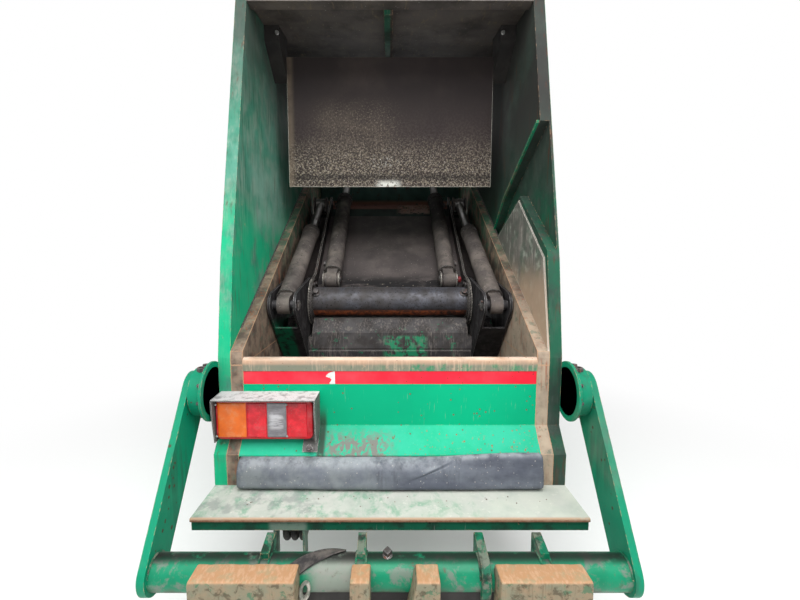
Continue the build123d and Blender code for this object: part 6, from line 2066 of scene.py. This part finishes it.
@dataclass
class Studio:
    """Camera, lamps, floor and sky."""

    eye: Vector3 = (0.0, -3.8, -1.437)
    tilt_down: float = 6.0
    lens: float = 18.9
    shift: float = 0.0125
    floor_height: float = -2.95
    floor_half: float = 40.0
    floor_middle: Vector3 = (0.0, -1.2, -2.95)
    shaded_to: float = 1.3
    white_from: float = 3.6
    sky_place: Vector3 = (0.0, -5.2, 2.6)
    sky_aim: Vector3 = (0.0, -1.9, -1.9)
    sky_size: float = 4.5
    sky_power: float = 360.0
    side_place: Vector3 = (4.5, -4.0, 0.4)
    side_aim: Vector3 = (0.0, -1.6, -1.5)
    side_size: float = 3.0
    side_power: float = 95.0
    sky_strength: float = 0.5

    def build(self) -> None:
        """Builds the whole studio."""
        self._camera()
        self._lamps()
        self._world()
        self._floor()

    def _camera(self) -> None:
        """Stands the camera where the photograph's was."""
        data = bpy.data.cameras.new("camera")
        data.lens = self.lens
        data.shift_x = self.shift
        camera = bpy.data.objects.new("camera", data)
        camera.location = self.eye
        camera.rotation_euler = (math.radians(90 - self.tilt_down), 0, 0)
        bpy.context.scene.collection.objects.link(camera)
        bpy.context.scene.camera = camera

    def _lamp(self, name: str, place: Vector3, aim: Vector3, size: float, power: float) -> None:
        """Adds a square soft lamp.

        Args:
            name: The lamp's name.
            place: Where it hangs.
            aim: The point it shines at.
            size: Its side.
            power: Its power in watts.
        """
        data = bpy.data.lights.new(name, "AREA")
        data.size = size
        data.energy = power
        lamp = bpy.data.objects.new(name, data)
        away = np.array(place) - np.array(aim)
        turn = math.atan2(away[0], -away[1])
        lamp.rotation_euler = (math.atan2(math.hypot(away[0], away[1]), away[2]), 0, turn)
        lamp.location = place
        bpy.context.scene.collection.objects.link(lamp)

    def _lamps(self) -> None:
        """Hangs a broad sky lamp above and behind the camera, and a weaker one on each side."""
        self._lamp("sky_lamp", self.sky_place, self.sky_aim, self.sky_size, self.sky_power)
        x, y, z = self.side_place
        for name, place in (("left_lamp", (-x, y, z)), ("right_lamp", (x, y, z))):
            self._lamp(name, place, self.side_aim, self.side_size, self.side_power)

    def _looked_at(self, graph: Graph) -> Socket:
        """Gives 1 for rays that show a thing, straight, in gloss or through glass, and 0 for all others.

        Args:
            graph: Graph of the sky or of the floor's finish.

        Returns:
            The 1 or 0.
        """
        path = graph.add("ShaderNodeLightPath").outputs
        seen = graph.math("MAXIMUM", path["Is Camera Ray"], path["Is Glossy Ray"])
        return graph.math("MAXIMUM", seen, path["Is Transmission Ray"])

    def _world(self) -> None:
        """Gives an even sky that the camera, gloss and glass see as white."""
        world = bpy.data.worlds.new("sky")
        world.use_nodes = True
        graph = Graph(world.node_tree)
        strength = graph.between(self._looked_at(graph), self.sky_strength, 1.0)
        sky = graph.add("ShaderNodeBackground", {"Color": (1, 1, 1, 1), "Strength": strength})
        graph.add("ShaderNodeOutputWorld", {0: sky.outputs[0]})
        bpy.context.scene.world = world
        bpy.context.scene.view_settings.view_transform = "Standard"

    def _floor(self) -> None:
        """Lays the pale floor, which takes the shadow near the object and turns white further out."""
        half = self.floor_half
        mesh = bpy.data.meshes.new("floor")
        corners = [(-half, -half), (half, -half), (half, half), (-half, half)]
        mesh.from_pydata([(x, y, self.floor_height) for x, y in corners], [], [(0, 1, 2, 3)])
        floor = bpy.data.objects.new("floor", mesh)
        bpy.context.scene.collection.objects.link(floor)
        finish = bpy.data.materials.new("pale_floor")
        finish.use_nodes = True
        graph = Graph(finish.node_tree)
        place = graph.add("ShaderNodeTexCoord").outputs["Object"]
        away = graph.add("ShaderNodeVectorMath", {0: place, 1: self.floor_middle}, operation="DISTANCE")
        far = graph.ramp(away.outputs["Value"], self.shaded_to, self.white_from)
        grain = graph.noise(graph.scaled(place, 0.02), 3.0, 0.6)
        colour = graph.mix(grain, (0.93, 0.93, 0.925, 1), (0.9, 0.9, 0.895, 1))
        sockets = {"Base Color": colour, "Roughness": 0.9, "Specular IOR Level": 0.1}
        matt = graph.add("ShaderNodeBsdfPrincipled", sockets)
        white = graph.add("ShaderNodeEmission", {"Color": (1, 1, 1, 1), "Strength": 1.0})
        share = graph.math("MULTIPLY", far, self._looked_at(graph))
        mixed = graph.add("ShaderNodeMixShader", {0: share, 1: matt.outputs[0], 2: white.outputs[0]})
        graph.add("ShaderNodeOutputMaterial", {0: mixed.outputs[0]})
        mesh.materials.append(finish)


@dataclass
class Coats:
    """Which finish each node of the frame wears."""

    finishes: dict[str, Finish] = field(default_factory=lambda: {name: finish for finish, names in {
        LEFT_WALL: "left_side_wall", RIGHT_WALL: "right_side_wall", WEAR_STEEL: "right_wear_plate",
        RAIL_STEEL: "left_guide_rail right_guide_rail hopper_side_plates", TROUGH_STEEL: "hopper_trough",
        BRIGHT_GREEN: "rear_sill", LIP_STEEL: "sill_lip", ROOF_PAINT: "roof_panel rear_header",
        RIB_GREEN: "roof_centre_rib", GIRDER_GREEN: "upper_crossmember lower_crossmember",
        OUTER_GREEN: "lock_lugs top_hinge raise_pins lift_actuators lift_arms",
        BLACK_RUBBER: "body_seal hose_loops", SHIELD_STEEL: "mechanism_shield",
        HANGER_STEEL: "shield_hangers", LAMP_BLACK: "tail_lamp_housing", LAMP_SHEET: "tail_lamp_guard",
        LEDGE_STEEL: "buffer_ledge", BEAM_GREEN: "ledge_beam",
        ROD_STEEL: "carriage_cylinder_rods guide_shoes blade_cylinder_rods", DECK_STEEL: "carriage_frame",
        SIDE_PLATE_STEEL: "carriage_side_plates", TUBE_STEEL: "blade_hinge_tube", BLADE_STEEL: "packer_blade",
        BARREL_PAINT: "carriage_cylinder_barrels cylinder_clevises blade_cylinder_barrels",
        DARK_STEEL: "blade_cylinder_brackets", ARM_STEEL: "blade_arms", LIFT_GREEN: "lift_tube",
        HOOK_GREEN: "lift_hooks",
    }.items() for name in names.split()})

    def build(self) -> None:
        """Puts each finish on its nodes, and dark steel on every other node."""
        for name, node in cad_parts.items():
            finish = self.finishes.get(name, DARK_STEEL)
            for slot in node.material_slots:
                slot.material = finish.material()
            LOG.info("%s wears %s", name, finish.name)


def main() -> None:
    """Builds the studio and the sub-assemblies in order."""
    logging.basicConfig(level=logging.INFO, format="%(name)s %(message)s")
    Studio().build()
    Coats().build()
    kinds = (Walls, Girder, Sill, TailLamp, Buffer, Packer, Cylinders, BinLift, Comb, Hoses, Debris)
    for kind in kinds:
        kind().build()


if __name__ == "__main__":
    main()
